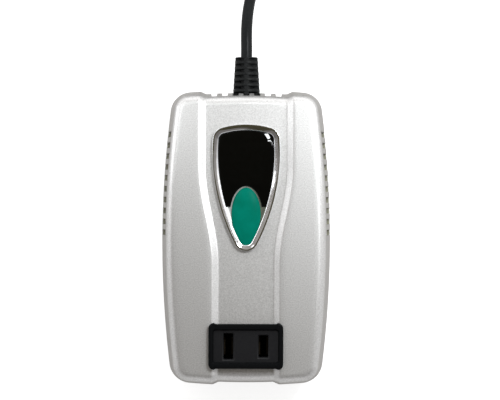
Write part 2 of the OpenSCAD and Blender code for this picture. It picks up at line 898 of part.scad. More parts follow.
sleeve_l = 10;
sleeve_t = 0.4;
sleeve_r = pin_d / 2 - 0.2;
module plug_pins() {
    r = pin_d / 2;
    core = sleeve_r - sleeve_t;
    color(brass)
        for (s = [-1, 1])
            translate([plug_x + s * pin_pitch / 2, plug_y + plug_l, plug_z])
                rotate([-90, 0, 0])
                    rotate_extrude()
                        polygon([
                            [0, 0], [core, 0], [core, sleeve_l], [r, sleeve_l], [r, pin_l - 1.2],
                            [r - 0.4, pin_l - 0.4], [r - 1.2, pin_l], [0, pin_l]
                        ]);
}

module pin_sleeves() {
    color(black)
        for (s = [-1, 1])
            translate([plug_x + s * pin_pitch / 2, plug_y + plug_l, plug_z])
                rotate([-90, 0, 0])
                    difference() {
                        cylinder(r = sleeve_r, h = sleeve_l - 0.05);
                        translate([0, 0, -1])
                            cylinder(r = sleeve_r - sleeve_t + 0.03, h = sleeve_l + 2);
                    }
}

// Core and windings

module core_e() {
    color(steel)
        translate([-3 * core_u, core_y - stack_l / 2, core_z]) {
            cube([6 * core_u, stack_l, core_u]);
            for (x = [0, 2, 5])
                translate([x * core_u, 0, 0])
                    cube([(x == 2 ? 2 : 1) * core_u, stack_l, 4 * core_u]);
        }
}

module core_i() {
    color(steel)
        translate([-3 * core_u, core_y - stack_l / 2, core_z + 4 * core_u])
            cube([6 * core_u, stack_l, core_u]);
}

module core_frame() {
    l = stack_l - 4;
    color([0.66, 0.66, 0.64])
        translate([0, core_y - l / 2, 0]) {
            translate([-3 * core_u - frame_t, 0, core_top])
                cube([6 * core_u + 2 * frame_t, l, frame_t]);
            for (s = [-1, 1])
                translate([s * (3 * core_u + frame_t / 2) - frame_t / 2, 0, core_z])
                    cube([frame_t, l, 5 * core_u + frame_t / 2]);
        }
}

module bobbin() {
    z = core_z + core_u + bobbin_gap;
    h = window_h - 2 * bobbin_gap;
    color([0.85, 0.83, 0.75])
        translate([0, core_y, 0])
            difference() {
                union() {
                    block(tube_w, tube_l, 0.6, z, h);
                    for (k = [z, z + h - bobbin_t])
                        block(4 * core_u - 0.4, tape_l + 1, 1, k, bobbin_t);
                }
                block(tube_w - 2 * bobbin_t, tube_l - 2 * bobbin_t, 0.2, z - 1, h + 2);
            }
}

module turn_block(inner, t) {
    translate([0, core_y, 0])
        difference() {
            block(tube_w + 2 * inner + 2 * t, tube_l + 2 * inner + 2 * t, 0.6 + inner + t, wind_z, wind_h);
            block(tube_w + 2 * inner, tube_l + 2 * inner, 0.6 + inner, wind_z - 1, wind_h + 2);
        }
}

module inner_winding() {
    color(copper)
        turn_block(0, wind_t);
}

module outer_winding() {
    color([0.62, 0.32, 0.14])
        turn_block(wind_t, wind_t);
}

module winding_tape() {
    color([0.85, 0.72, 0.2])
        turn_block(2 * wind_t, tape_t);
}

// Thermal fuse and inner leads

fuse_d = 4;
fuse_l = 10;
fuse_y = core_y + tape_l / 2 + fuse_d / 2 + 0.05;
fuse_z = wind_z + wind_h / 2;
fuse_end = fuse_l / 2 + 4;
module thermal_fuse() {
    color([0.8, 0.8, 0.78])
        translate([0, fuse_y, fuse_z])
            rotate([0, 90, 0]) {
                translate([0, 0, -fuse_l / 2])
                    cylinder(d = fuse_d, h = fuse_l);
                translate([0, 0, -fuse_end])
                    cylinder(d = 1, h = 2 * fuse_end);
            }
}

// A lead from a to b that leaves each end square, along u from a and along v from b
module wire(a, u, b, v, reach, up) {
    q = reach / 5;
    tube(
        concat([a], bezier([a + q * u, a + reach * u, b + reach * v, b + q * v], 8), [b]),
        lead_d / 2, 8, up
    );
}

lead_x = 1.6;
module lead_in_live() {
    a = [-lead_x, relief_in_y, z_seam];
    b = [-fuse_end, fuse_y, fuse_z];
    color([0.45, 0.26, 0.12])
        wire(a, [0, -1, 0], b, [-1, 0, 0], 8, [0, 0, 1]);
}

module lead_in_neutral() {
    a = [lead_x, relief_in_y, z_seam];
    b = [fuse_end + 4, core_y + tape_l / 2, fuse_z - 5];
    color([0.15, 0.3, 0.65])
        wire(a, [0, -1, 0], b, [0, 1, 0], 8, [0, 0, 1]);
}

module lead_fuse() {
    a = [fuse_end, fuse_y, fuse_z];
    b = [fuse_end + 3, core_y + tape_l / 2, fuse_z + 4];
    color([0.7, 0.15, 0.12])
        wire(a, [1, 0, 0], b, [0, 1, 0], 4, [0, 0, 1]);
}

module lead_out(s) {
    a = [s * slot_pitch / 2, outlet_y, tail_z];
    b = [s * slot_pitch / 2, core_y - tape_l / 2, fuse_z - 4];
    wire(a, [0, 0, -1], b, [0, -1, 0], 9, [1, 0, 0]);
}

module lead_out_neutral() {
    color([0.9, 0.9, 0.88])
        lead_out(-1);
}

module lead_out_line() {
    color([0.1, 0.1, 0.1])
        lead_out(1);
}

front_cover();
rear_cover();
case_screws();
feet();
badge_frame();
badge_plate();
badge_oval();
socket_body();
socket_back();
contact_neutral();
contact_line();
strain_relief();
cord_lead();
cord_coil();
cord_tail();
cord_tie();
plug_body();
plug_pins();
pin_sleeves();
core_e();
core_i();
core_frame();
bobbin();
inner_winding();
outer_winding();
winding_tape();
thermal_fuse();
lead_in_live();
lead_in_neutral();
lead_fuse();
lead_out_neutral();
lead_out_line();
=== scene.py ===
"""The looks of a travel voltage converter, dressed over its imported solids."""

import math

import bmesh
import bpy
import numpy as np
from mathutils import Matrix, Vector
from mathutils.geometry import tessellate_polygon


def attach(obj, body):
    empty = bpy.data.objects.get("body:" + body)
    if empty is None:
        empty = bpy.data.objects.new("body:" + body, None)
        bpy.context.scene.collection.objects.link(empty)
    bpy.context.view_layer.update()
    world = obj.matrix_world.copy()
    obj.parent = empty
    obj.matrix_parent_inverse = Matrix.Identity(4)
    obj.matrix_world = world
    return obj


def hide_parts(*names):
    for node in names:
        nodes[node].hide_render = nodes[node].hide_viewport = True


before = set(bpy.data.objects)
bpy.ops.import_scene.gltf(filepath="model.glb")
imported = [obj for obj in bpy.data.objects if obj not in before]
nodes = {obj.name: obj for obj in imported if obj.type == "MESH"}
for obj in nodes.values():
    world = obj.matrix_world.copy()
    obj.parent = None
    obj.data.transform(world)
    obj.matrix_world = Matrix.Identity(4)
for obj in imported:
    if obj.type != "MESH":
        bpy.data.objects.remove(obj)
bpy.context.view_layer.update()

# Sizes in millimetres, as the solids have them
MM = 0.001
CASE_W, CASE_L, FOOT_H, REAR_H, CASE_H = 62.4, 109.8, 1.4, 23.0, 48.6
WALL, EDGE_R, BACK_EDGE_R = 2.2, 3.2, 2.6
LEAN = math.tan(math.radians(5))
SIDE_BOW_R, SIDE_BOW_Y, END_BOW_R, CORNER_R, LOW_CORNER_R = 380.0, -1.0, 250.0, 7.6, 8.1
Z_SEAM, Z_TOP = FOOT_H + REAR_H, FOOT_H + CASE_H
BAND_DEPTH, BAND_TOP_W, BAND_LOW_W, BAND_SLOPE_W = 1.1, 29.8, 20.2, 2.2
BAND_TURN_TOP, BAND_TURN_LOW = 26.0, -9.0
Z_FLOOR = Z_TOP - BAND_DEPTH
CEILING = Z_FLOOR - WALL
VENT_PITCH, VENT_W, VENT_H, SIDE_VENTS, SIDE_VENT_Y = 4.0, 2.1, 21.0, 10, 38.1
END_BARS, END_SLOT_W, REAR_SLOT_H = 8, 2.3, 10.5
BORE_R, BORE_TOP, PILOT_R, PILOT_L = 3.05, Z_SEAM - 10.0, 1.7, 4.0
HEAD_R, HEAD_H, SHANK_R, SHANK_L = 2.85, 2.1, 1.5, 19.0
FOOT_R, FOOT_SINK, FOOT_SPAN_X, FOOT_SPAN_Y = 4.5, 0.6, 34.4, 69.8
BADGE_W, BADGE_RISE, BADGE_Y, BADGE_H, BADGE_RIM = 24.5, 10.0, 31.4, 1.7, 2.1
OVAL_W, OVAL_L, OVAL_RISE = 10.7, 21.2, 1.3
OUTLET_W, OUTLET_L, OUTLET_Y, OUTLET_H, OUTLET_DEPTH = 27.1, 16.9, -38.95, 2.0, 15.0
SLOT_PITCH, SLOT_W, SLOT_LONG, SLOT_SHORT = 12.7, 3.4, 9.4, 8.0
CORD_D, COIL_TURNS, COIL_MEAN_D = 4.2, 3, 48.0
RELIEF_L, RELIEF_BASE, RELIEF_TIP, RELIEF_GROOVES, RELIEF_SEAT = 13.2, 10.0, 8.4, 7, 1.2
PLUG_X, PLUG_Z = 18.0, 6.85
WALL_Y = CASE_L / 2 - BAND_DEPTH
TIP_Y = WALL_Y + RELIEF_L


def ease(t):
    """A smooth step from 0 to 1."""
    t = np.clip(t, 0.0, 1.0)
    return t * t * (3 - 2 * t)


def around(n):
    """Each place of a ring of n with the next one."""
    return [(f, (f + 1) % n) for f in range(n)]


# Finishes

PATTERNS = {
    "grain": ("ShaderNodeTexNoise", "Fac", {"Detail": 3.0, "Roughness": 0.6}),
    "bands": ("ShaderNodeTexWave", "Fac", {"bands_direction": "Y", "Distortion": 0.4, "Detail": 3.0}),
    "cells": ("ShaderNodeTexVoronoi", "Distance", {}),
}


def feed(tree, entry, value):
    """Sets an input to a value, or links it to another node's output."""
    if isinstance(value, bpy.types.NodeSocket):
        tree.links.new(value, entry)
    else:
        entry.default_value = value


def node(tree, kind, *inputs, **values):
    """A new node with its settings and inputs by name, or its first inputs in their own order."""
    made = tree.nodes.new(kind)
    for key, value in values.items():
        if hasattr(made, key):
            setattr(made, key, value)
        else:
            feed(tree, made.inputs[key.replace("_", " ")], value)
    for entry, value in zip(made.inputs, inputs):
        feed(tree, entry, value)
    return made


def grey(v):
    return (v, v, v, 1.0)


def colour_ramp(tree, share, *stops):
    """The colour at a share of the way through (place, colour) stops in rising order."""
    ramp = node(tree, "ShaderNodeValToRGB", share)
    marks = ramp.color_ramp.elements
    marks[0].position, marks[0].color = stops[0]
    marks[1].position, marks[1].color = stops[-1]
    for place, colour in stops[1:-1]:
        marks.new(place).color = colour
    return ramp.outputs["Color"]


def painted_shade_across(tree, place, tone, reach, left, right):
    """The tone times a painted shade: a tint that runs from left to right across the piece, darker on the
    side meant to look shaded.
    """
    split = node(tree, "ShaderNodeSeparateXYZ", place)
    share = node(tree, "ShaderNodeMapRange", split.outputs["X"], From_Min=-reach, From_Max=reach)
    tint = colour_ramp(tree, share.outputs["Result"], (0.0, (*left, 1)), (1.0, (*right, 1)))
    return node(tree, "ShaderNodeVectorMath", tone, tint, operation="MULTIPLY").outputs["Vector"]


def finish(name, dark, light, rough, metal=0.0, scale=900.0, bump=0.1, depth=0.00005,
           stretch=(1, 1, 1), pattern="grain", specular=0.5, edge=(1, 1, 1), across=None):
    """A surface whose colour, gloss and relief all follow one fine pattern; across adds painted shade to
    one side.
    """
    made = bpy.data.materials.new(name)
    made.use_nodes = True
    tree = made.node_tree
    place = node(tree, "ShaderNodeTexCoord").outputs["Object"]
    turn = node(tree, "ShaderNodeMapping", place, Scale=stretch)
    kind, level, settings = PATTERNS[pattern]
    source = node(tree, kind, turn.outputs["Vector"], Scale=scale, **settings).outputs[level]
    tone = colour_ramp(tree, source, (0.3, (*dark, 1)), (0.7, (*light, 1)))
    # painted shade: a tint from one side of the piece to the other
    if across:
        tone = painted_shade_across(tree, place, tone, *across)
    gloss = node(tree, "ShaderNodeMapRange", source, To_Min=rough[0], To_Max=rough[1])
    relief = node(tree, "ShaderNodeBump", Strength=bump, Distance=depth, Height=source)
    shader = tree.nodes["Principled BSDF"].inputs
    for key, value in (("Base Color", tone), ("Metallic", metal), ("Specular IOR Level", specular),
                       ("Specular Tint", (*edge, 1)), ("Roughness", gloss.outputs["Result"]),
                       ("Normal", relief.outputs["Normal"])):
        feed(tree, shader[key], value)
    return made


FINISHES = {
    "silver_plastic": finish("silver_paint", (0.515, 0.51, 0.505), (0.72, 0.715, 0.71),
                             (0.38, 0.46), metal=0.9, scale=2400, bump=0.14, depth=0.00003,
                             edge=(0.26, 0.24, 0.21)),
    "chrome": finish("badge_chrome", (0.74, 0.75, 0.77), (0.83, 0.84, 0.86), (0.05, 0.11),
                     metal=1.0, scale=700, bump=0.02),
    # painted shade: the land's colour turns darker and olive towards its right side, where it is meant to
    # look shaded
    "satin_chrome": finish("land_chrome", (0.43, 0.44, 0.435), (0.53, 0.54, 0.535), (0.34, 0.42),
                           metal=1.0, scale=900, bump=0.05,
                           across=(0.006, (1.0, 1.0, 1.0), (0.36, 0.38, 0.31))),
    "gloss_black": finish("badge_black", (0.0005, 0.0006, 0.0007), (0.001, 0.0011, 0.0012),
                          (0.03, 0.06), scale=500, bump=0.01, specular=0.35),
    "gloss_green": finish("dome_green", (0.0004, 0.119, 0.079), (0.0008, 0.154, 0.109),
                          (0.25, 0.35), scale=120, bump=0.01, specular=0.015),
    "black_plastic": finish("outlet_black", (0.004, 0.004, 0.005), (0.008, 0.008, 0.009),
                            (0.40, 0.52), scale=2600, bump=0.25, specular=0.18),
    "frame_black": finish("frame_black", (0.0032, 0.0034, 0.0038), (0.0055, 0.0058, 0.0062),
                          (0.22, 0.30), scale=2600, bump=0.12, specular=0.02),
    "soft_black": finish("cord_black", (0.0025, 0.003, 0.0032), (0.006, 0.0067, 0.007),
                         (0.42, 0.55), scale=1800, bump=0.18, specular=0.15),
    "cord_sheath": finish("cord_sheath", (0.0062, 0.0071, 0.0075), (0.0135, 0.0145, 0.0150),
                          (0.30, 0.38), scale=1800, bump=0.1, specular=0.08),
    # painted shade: a dark olive sheet that stands for the shade inside the side slots
    "vent_shade_paint": finish("vent_shade_paint", (0.19, 0.19, 0.15), (0.305, 0.30, 0.235),
                        (0.80, 0.92), scale=2200, bump=0.4, specular=0.1),
    "tie_black": finish("tie_black", (0.016, 0.016, 0.018), (0.028, 0.028, 0.03),
                        (0.60, 0.78), scale=1500, bump=0.35, pattern="bands"),
    "rubber": finish("foot_rubber", (0.016, 0.016, 0.017), (0.032, 0.032, 0.033),
                     (0.70, 0.85), scale=2200, bump=0.3),
    "zinc_steel": finish("screw_zinc", (0.42, 0.43, 0.44), (0.62, 0.63, 0.63), (0.28, 0.42),
                         metal=1.0, scale=1200, bump=0.1, pattern="cells"),
    # painted shade: the contacts' brass is darkened almost to black so that they read as shade deep in the
    # slots
    "brass": finish("contact_brass_shade_dark", (0.016, 0.012, 0.008), (0.036, 0.028, 0.019), (0.35, 0.50),
                    metal=1.0, scale=900, bump=0.08, stretch=(1, 1, 0.15)),
    "nickel_brass": finish("pin_nickel", (0.52, 0.50, 0.45), (0.66, 0.64, 0.59), (0.18, 0.30),
                           metal=1.0, scale=1500, bump=0.06, stretch=(1, 0.12, 1)),
    "lamination": finish("core_sheets", (0.05, 0.045, 0.04), (0.23, 0.22, 0.21), (0.35, 0.55),
                         metal=0.7, scale=320, bump=0.6, pattern="bands"),
    "nylon": finish("bobbin_nylon", (0.60, 0.57, 0.48), (0.70, 0.67, 0.58), (0.45, 0.58),
                    scale=600, bump=0.08),
    "magnet_wire": finish("winding_wire", (0.22, 0.07, 0.02), (0.56, 0.25, 0.09), (0.22, 0.38),
                          metal=0.8, scale=420, bump=0.8, pattern="bands", stretch=(0, 0, 1)),
    "yellow_tape": finish("winding_tape", (0.58, 0.44, 0.07), (0.70, 0.56, 0.13), (0.25, 0.40),
                          scale=260, bump=0.15, stretch=(1, 1, 3)),
    "fuse_metal": finish("fuse_metal", (0.55, 0.55, 0.54), (0.70, 0.70, 0.69), (0.25, 0.38),
                         metal=1.0, scale=1400, bump=0.08),
}
LEAD_TONES = {
    "brown": ((0.15, 0.06, 0.022), (0.21, 0.09, 0.035)),
    "blue": ((0.015, 0.06, 0.30), (0.025, 0.09, 0.42)),
    "red": ((0.42, 0.02, 0.015), (0.55, 0.035, 0.025)),
    "white": ((0.70, 0.70, 0.67), (0.80, 0.80, 0.77)),
    "black": ((0.012, 0.012, 0.012), (0.022, 0.022, 0.022)),
}
for tone_name, tones in LEAD_TONES.items():
    FINISHES[tone_name + "_pvc"] = finish("lead_" + tone_name, *tones, (0.40, 0.52), scale=1600)

# Making pieces

SHARP, MERGE = 35.0, 1e-6


def dress(obj, slot, *stands_for):
    """Puts a piece under the root body and hides the nodes that it stands for; slot is not used."""
    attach(obj, "root")
    if stands_for:
        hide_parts(*stands_for)
    return obj


def put(name, data):
    """A new object at the origin of the scene."""
    obj = bpy.data.objects.new(name, data)
    bpy.context.scene.collection.objects.link(obj)
    return obj


def shade(mesh, sharp):
    """Shades a mesh smooth; edges steeper than sharp degrees stay crisp."""
    mesh.shade_smooth()
    mesh.set_sharp_from_angle(angle=math.radians(sharp))


def mesh_object(name, made, look, sharp=SHARP):
    """A mesh from its points in millimetres and its faces."""
    points, faces = made
    mesh = bpy.data.meshes.new(name)
    mesh.from_pydata((np.asarray(points, float) * MM).tolist(), [], faces)
    mesh.materials.append(FINISHES[look])
    shade(mesh, sharp)
    return put(name, mesh)


def piece(name, made, slot, *stands_for, look=None, sharp=SHARP):
    """A finished piece; its look is its slot's own unless another is given."""
    return dress(mesh_object(name, made, look or slot, sharp), slot, *stands_for)


def smooth_copy(name, source, slot):
    """A CAD node's own shape with its corners merged and its round faces shaded smooth."""
    mesh = nodes[source].data.copy()
    mesh.name = name
    made = bmesh.new()
    made.from_mesh(mesh)
    bmesh.ops.remove_doubles(made, verts=made.verts, dist=MERGE)
    made.to_mesh(mesh)
    made.free()
    mesh.materials.clear()
    mesh.materials.append(FINISHES[slot])
    shade(mesh, SHARP)
    return dress(put(name, mesh), slot, source)


def loft(rings, first=True, last=True):
    """Points and faces of a skin through like rings, each anticlockwise seen along its own rise."""
    n = len(rings[0])
    points = [p for ring in rings for p in ring]
    faces = [(j + a, j + b, j + b + n, j + a + n)
             for j in range(0, len(points) - n, n) for a, b in around(n)]
    if first:
        faces.append(tuple(range(n - 1, -1, -1)))
    if last:
        faces.append(tuple(range(len(points) - n, len(points))))
    return points, faces


def inside_out(points, faces):
    return points, [face[::-1] for face in faces]


def gathered(*parts):
    """Several point and face lists as one."""
    points, faces = [], []
    for p, f in parts:
        base = len(points)
        points += list(p)
        faces += [tuple(i + base for i in face) for face in f]
    return points, faces


def at_height(outline, z):
    return [(x, y, z) for x, y in outline]


def circle(cx, cy, r, n=40):
    return [(cx + r * math.cos(a), cy + r * math.sin(a))
            for a in np.linspace(0, 2 * math.pi, n, endpoint=False)]


def round_corners(w, h, r, n):
    """The four rounded corners of an oblong about the origin, anticlockwise, in n steps each."""
    made = []
    for q, (sx, sy) in enumerate(((1, 1), (-1, 1), (-1, -1), (1, -1))):
        angles = [math.pi / 2 * (q + i / n) for i in range(n + 1)]
        made.append([(sx * (w / 2 - r) + r * math.cos(a), sy * (h / 2 - r) + r * math.sin(a))
                     for a in angles])
    return made


def flat_faces(loops, numbers, up):
    """Triangles of a flat face with holes, facing up or down; numbers are its points' own."""
    faces = []
    flat = [p for loop in loops for p in loop]
    for tri in tessellate_polygon([[Vector(p) for p in loop] for loop in loops]):
        a, b, c = (Vector(flat[i]) for i in tri)
        face = tuple(numbers[i] for i in tri)
        faces.append(face if (b - a).cross(c - a).z * up > 0 else face[::-1])
    return faces


# Repeated pieces


def repeat_tree(name, labels):
    """An empty tree, the keys that set its inputs, and those inputs inside it."""
    tree = bpy.data.node_groups.new(name, "GeometryNodeTree")
    tree.interface.new_socket("Geometry", in_out="OUTPUT", socket_type="NodeSocketGeometry")
    keys = {}
    for label, kind in labels.items():
        made = tree.interface.new_socket(label, in_out="INPUT", socket_type="NodeSocket" + kind)
        keys[label] = made.identifier
    return tree, keys, node(tree, "NodeGroupInput").outputs


def close_tree(tree, given, points, scale=(1, 1, 1)):
    """The shared tail: the piece on every point, made real, with its finish."""
    look = node(tree, "GeometryNodeObjectInfo", Object=given["Piece"])
    spread = node(tree, "GeometryNodeInstanceOnPoints", Points=points,
                  Instance=look.outputs["Geometry"], Scale=scale)
    real = node(tree, "GeometryNodeRealizeInstances", spread.outputs["Instances"])
    painted = node(tree, "GeometryNodeSetMaterial", real.outputs["Geometry"], Material=given["Finish"])
    node(tree, "NodeGroupOutput", painted.outputs["Geometry"])


def row_tree():
    """Copies along a straight line that grow or shrink evenly towards its far end."""
    tree, keys, given = repeat_tree("tapered_row", {
        "Piece": "Object", "Count": "Int", "Start": "Vector", "Step": "Vector",
        "End Scale": "Vector", "Finish": "Material"})
    line = node(tree, "GeometryNodeMeshLine", mode="OFFSET", Count=given["Count"],
                Start_Location=given["Start"], Offset=given["Step"])
    order = node(tree, "GeometryNodeInputIndex").outputs["Index"]
    last = node(tree, "ShaderNodeMath", given["Count"], 1.0, operation="SUBTRACT").outputs["Value"]
    share = node(tree, "ShaderNodeMath", order, last, operation="DIVIDE").outputs["Value"]
    taper = node(tree, "ShaderNodeMix", data_type="VECTOR", Factor=share)
    start, end = (s for s in taper.inputs if s.type == "VECTOR" and s.enabled)
    feed(tree, start, (1, 1, 1))
    feed(tree, end, given["End Scale"])
    scale = next(s for s in taper.outputs if s.type == "VECTOR" and s.enabled)
    close_tree(tree, given, line.outputs["Mesh"], scale)
    return tree, keys


def corner_tree():
    """One copy at each corner of a four-sided layout with its own width at either end."""
    tree, keys, given = repeat_tree("corner_set", {
        "Piece": "Object", "Low Width": "Float", "Top Width": "Float",
        "Length": "Float", "Middle": "Vector", "Finish": "Material"})
    layout = node(tree, "GeometryNodeCurvePrimitiveQuadrilateral", mode="TRAPEZOID", Offset=0.0,
                  Bottom_Width=given["Low Width"], Top_Width=given["Top Width"], Height=given["Length"])
    moved = node(tree, "GeometryNodeTransform", layout.outputs["Curve"], Translation=given["Middle"])
    close_tree(tree, given, moved.outputs["Geometry"])
    return tree, keys


ROW, CORNERS = row_tree(), corner_tree()


def repeated(name, tree_keys, single, slot, sharp=SHARP, **values):
    """Runs a tree on a single mesh object, which it uses up, and keeps the result as a plain mesh."""
    tree, keys = tree_keys
    empty = bpy.data.meshes.new(name)
    obj = put(name, empty)
    mod = obj.modifiers.new("repeat", "NODES")
    mod.node_group = tree
    mod[keys["Piece"]] = single
    mod[keys["Finish"]] = FINISHES[slot]
    for label, value in values.items():
        mod[keys[label.replace("_", " ")]] = value
    graph = bpy.context.evaluated_depsgraph_get()
    result = bpy.data.meshes.new_from_object(obj.evaluated_get(graph))
    obj.modifiers.clear()
    obj.data = result
    bpy.data.meshes.remove(empty)
    result.name = name
    shade(result, sharp)
    bpy.data.objects.remove(single)
    return obj


# Camera

camera = bpy.data.cameras.new("camera")
camera.sensor_width, camera.lens = 36.0, 183.6
camera.clip_start, camera.clip_end = 0.01, 50.0
eye = put("camera", camera)
eye.location = (0.0014, 0.0140, 0.973)
eye.rotation_euler = (0.0, 0.0, 0.0022)
bpy.context.scene.camera = eye

# Mains cord

COIL_GAP, COIL_LIFT, COIL_NUDGE = 0.6, 0.75, 0.002
COIL_PITCH = CORD_D + COIL_GAP
COIL_C = (-4.0, CASE_L / 2 + 85.5)
COIL_A = -40.0
COIL_R = COIL_MEAN_D / 2 + COIL_PITCH * COIL_TURNS / 2
LAYERS = (CORD_D / 2 + COIL_LIFT, CORD_D * 1.5 + COIL_LIFT + COIL_GAP)
COIL_END = 2 * COIL_TURNS + 70 / 360
LEAD_STEPS, TURN_STEPS, LAST_STEPS, TAIL_STEPS = 24, 40, 8, 14
PLUG_BEYOND, LEAD_SIDE = 24.0, -0.5
LEAD_PULL, COIL_PULL, TAIL_PULL, PLUG_PULL = 24.0, 18.0, 6.0, 7.0


def coil_at(t):
    """The cord's middle after t turns: inwards on the lower layer, then outwards on the upper one."""
    a = math.radians(COIL_A + 360 * t)
    r = COIL_R - COIL_PITCH * (t if t < COIL_TURNS else 2 * COIL_TURNS - t)
    z = LAYERS[0] + ease((t - COIL_TURNS) * 2 + 0.5) * (LAYERS[1] - LAYERS[0])
    return np.array([COIL_C[0] + r * math.cos(a), COIL_C[1] + r * math.sin(a), z])


def coil_dir(t):
    d = coil_at(t + COIL_NUDGE) - coil_at(t - COIL_NUDGE)
    return d / np.linalg.norm(d)


def bezier(p, n):
    p = [np.asarray(q, float) for q in p]
    return [(1 - t) ** 3 * p[0] + 3 * (1 - t) ** 2 * t * p[1] + 3 * (1 - t) * t * t * p[2]
            + t ** 3 * p[3] for t in np.linspace(0, 1, n + 1)]


def cord_route():
    """From the relief's tip down to the table, round the coil and on to the plug."""
    way_in, way_out = coil_dir(0), coil_dir(COIL_END)
    coil_in = coil_at(0) - CORD_D * way_in
    coil_out = coil_at(COIL_END) + CORD_D * way_out
    lead_in = coil_in - CORD_D * way_in
    tail_out = coil_out + CORD_D * way_out
    plug_y = coil_out[1] + PLUG_BEYOND
    full, rest = 2 * COIL_TURNS, COIL_END - 2 * COIL_TURNS
    route = [np.array([0, TIP_Y, Z_SEAM])]
    route += bezier([(0, TIP_Y + CORD_D, Z_SEAM), (LEAD_SIDE, TIP_Y + LEAD_PULL, Z_SEAM),
                     lead_in - COIL_PULL * way_in, lead_in], LEAD_STEPS)
    route += [coil_in]
    route += [coil_at(i / TURN_STEPS) for i in range(TURN_STEPS * full + 1)]
    route += [coil_at(full + rest * i / LAST_STEPS) for i in range(1, LAST_STEPS + 1)]
    route += [coil_out]
    route += bezier([tail_out, tail_out + TAIL_PULL * way_out,
                     (PLUG_X, plug_y - CORD_D - PLUG_PULL, PLUG_Z),
                     (PLUG_X, plug_y - CORD_D, PLUG_Z)], TAIL_STEPS)
    route += [np.array([PLUG_X, plug_y, PLUG_Z])]
    return np.array(route), plug_y


ROUTE, PLUG_Y = cord_route()


def mains_cord():
    """The whole cord as one round tube along its route."""
    curve = bpy.data.curves.new("mains_cord", "CURVE")
    curve.dimensions = "3D"
    curve.bevel_depth = CORD_D / 2 * MM
    curve.bevel_resolution = 6
    curve.use_fill_caps = True
    line = curve.splines.new("POLY")
    line.points.add(len(ROUTE) - 1)
    for p, q in zip(line.points, ROUTE):
        p.co = (*(q * MM), 1.0)
    line.use_smooth = True
    curve.materials.append(FINISHES["cord_sheath"])
    return dress(put("mains_cord", curve), "soft_black", "cord_lead", "cord_coil", "cord_tail")


CORD = mains_cord()

# Case outline

END_STEP, CORNER_STEP, SIDE_STEP, NEAR_KEPT = 0.36, 0.5, 0.7, 0.45
SLOT_INSET, BAND_SOFT, WALL_FROM = 0.5, 0.14, 0.4


def meet(c1, r1, c2, r2, side):
    """Where two circles meet, on one side of the line from the first centre to the second."""
    c1, c2 = np.asarray(c1, float), np.asarray(c2, float)
    d = np.linalg.norm(c2 - c1)
    a = (r1 * r1 - r2 * r2 + d * d) / (2 * d)
    u = (c2 - c1) / d
    return c1 + a * u + side * math.sqrt(r1 * r1 - a * a) * np.array([-u[1], u[0]])


def heading(a, b):
    return math.degrees(math.atan2(b[1] - a[1], b[0] - a[0]))


def arc_angles(a0, a1, radius, step, keep=()):
    """Even angles along an arc that also hit every kept one."""
    n = max(2, round(math.radians(a1 - a0) * radius / step))
    gap = NEAR_KEPT * (a1 - a0) / n
    keep = [k for k in keep if a0 + gap < k < a1 - gap]
    even = [a for a in np.linspace(a0, a1, n + 1) if all(abs(a - k) > gap for k in keep)]
    return sorted(even + keep)


def outline_centres(shorter):
    """Centres of the right half's arcs: side, cord end, outlet end and the two corners."""
    side = np.array([CASE_W / 2 - SIDE_BOW_R, SIDE_BOW_Y])
    top = np.array([0, CASE_L / 2 - shorter - END_BOW_R])
    hi = meet(side, SIDE_BOW_R - CORNER_R, top, END_BOW_R - CORNER_R, 1)
    lo = meet(side, SIDE_BOW_R - LOW_CORNER_R, -top, END_BOW_R - LOW_CORNER_R, -1)
    return side, top, -top, hi, lo


class HalfOutline:
    """Stations of the case's right half, from the outlet end's middle to the cord end's middle."""

    def __init__(self):
        side_c, top_c, low_c, hi, lo = outline_centres(0.0)
        a1, a2 = heading(side_c, hi), heading(top_c, hi)
        a3, a4 = heading(low_c, lo), heading(side_c, lo)
        side_edges = sorted(SIDE_VENT_Y - i * VENT_PITCH + s * VENT_W / 2
                            for i in range(SIDE_VENTS) for s in (-1, 1))
        end_edges = sorted({abs(i * VENT_PITCH + s * END_SLOT_W / 2)
                            for i in range(END_BARS // 2) for s in (-1, 1)})
        side_keep = [math.degrees(math.asin((y - SIDE_BOW_Y) / (SIDE_BOW_R - SLOT_INSET)))
                     for y in side_edges]
        end_keep = [math.degrees(math.acos(x / (END_BOW_R - SLOT_INSET))) for x in end_edges]
        runs = [
            (low_c, END_BOW_R, arc_angles(-90.0, a3, END_BOW_R, END_STEP)[:-1]),
            (lo, LOW_CORNER_R, arc_angles(a3, a4, LOW_CORNER_R, CORNER_STEP)[:-1]),
            (side_c, SIDE_BOW_R, arc_angles(a4, a1, SIDE_BOW_R, SIDE_STEP, side_keep)[:-1]),
            (hi, CORNER_R, arc_angles(a1, a2, CORNER_R, CORNER_STEP)[:-1]),
            (top_c, END_BOW_R, arc_angles(a2, 90.0, END_BOW_R, END_STEP, end_keep)),
        ]
        rows = np.array([(c[0], c[1], r, math.radians(a)) for c, r, angles in runs for a in angles])
        self.c, self.r = rows[:, :2], rows[:, 2]
        self.n = len(rows)
        self.out = np.stack([np.cos(rows[:, 3]), np.sin(rows[:, 3])], 1)
        self.out[[0, -1], 0] = 0.0

    def at(self, inset):
        return self.c + (self.r - inset)[:, None] * self.out


OUTLINE = HalfOutline()


def band_weight(x, y):
    """1 on the floor of the centre band, 0 beside it, with softly rounded edges on the slope."""
    turn = ease((y - BAND_TURN_LOW) / (BAND_TURN_TOP - BAND_TURN_LOW))
    half = (BAND_LOW_W + turn * (BAND_TOP_W - BAND_LOW_W)) / 2
    k = BAND_SOFT

    def soft(v):
        return np.where(v < -k, 0.0, np.where(v > k, v, (v + k) ** 2 / (4 * k)))

    return 1.0 - soft(1.0 - soft(1.0 - (np.abs(x) - half) / BAND_SLOPE_W))


def settled_row(inset_of, height_of):
    """A row of stations whose inset and height depend on the band's weight at the point itself."""
    w = band_weight(*OUTLINE.at(np.zeros(OUTLINE.n)).T)
    for _ in range(3):
        w = band_weight(*OUTLINE.at(inset_of(w)).T)
    return np.column_stack([OUTLINE.at(inset_of(w)), height_of(w) + np.zeros(OUTLINE.n)])


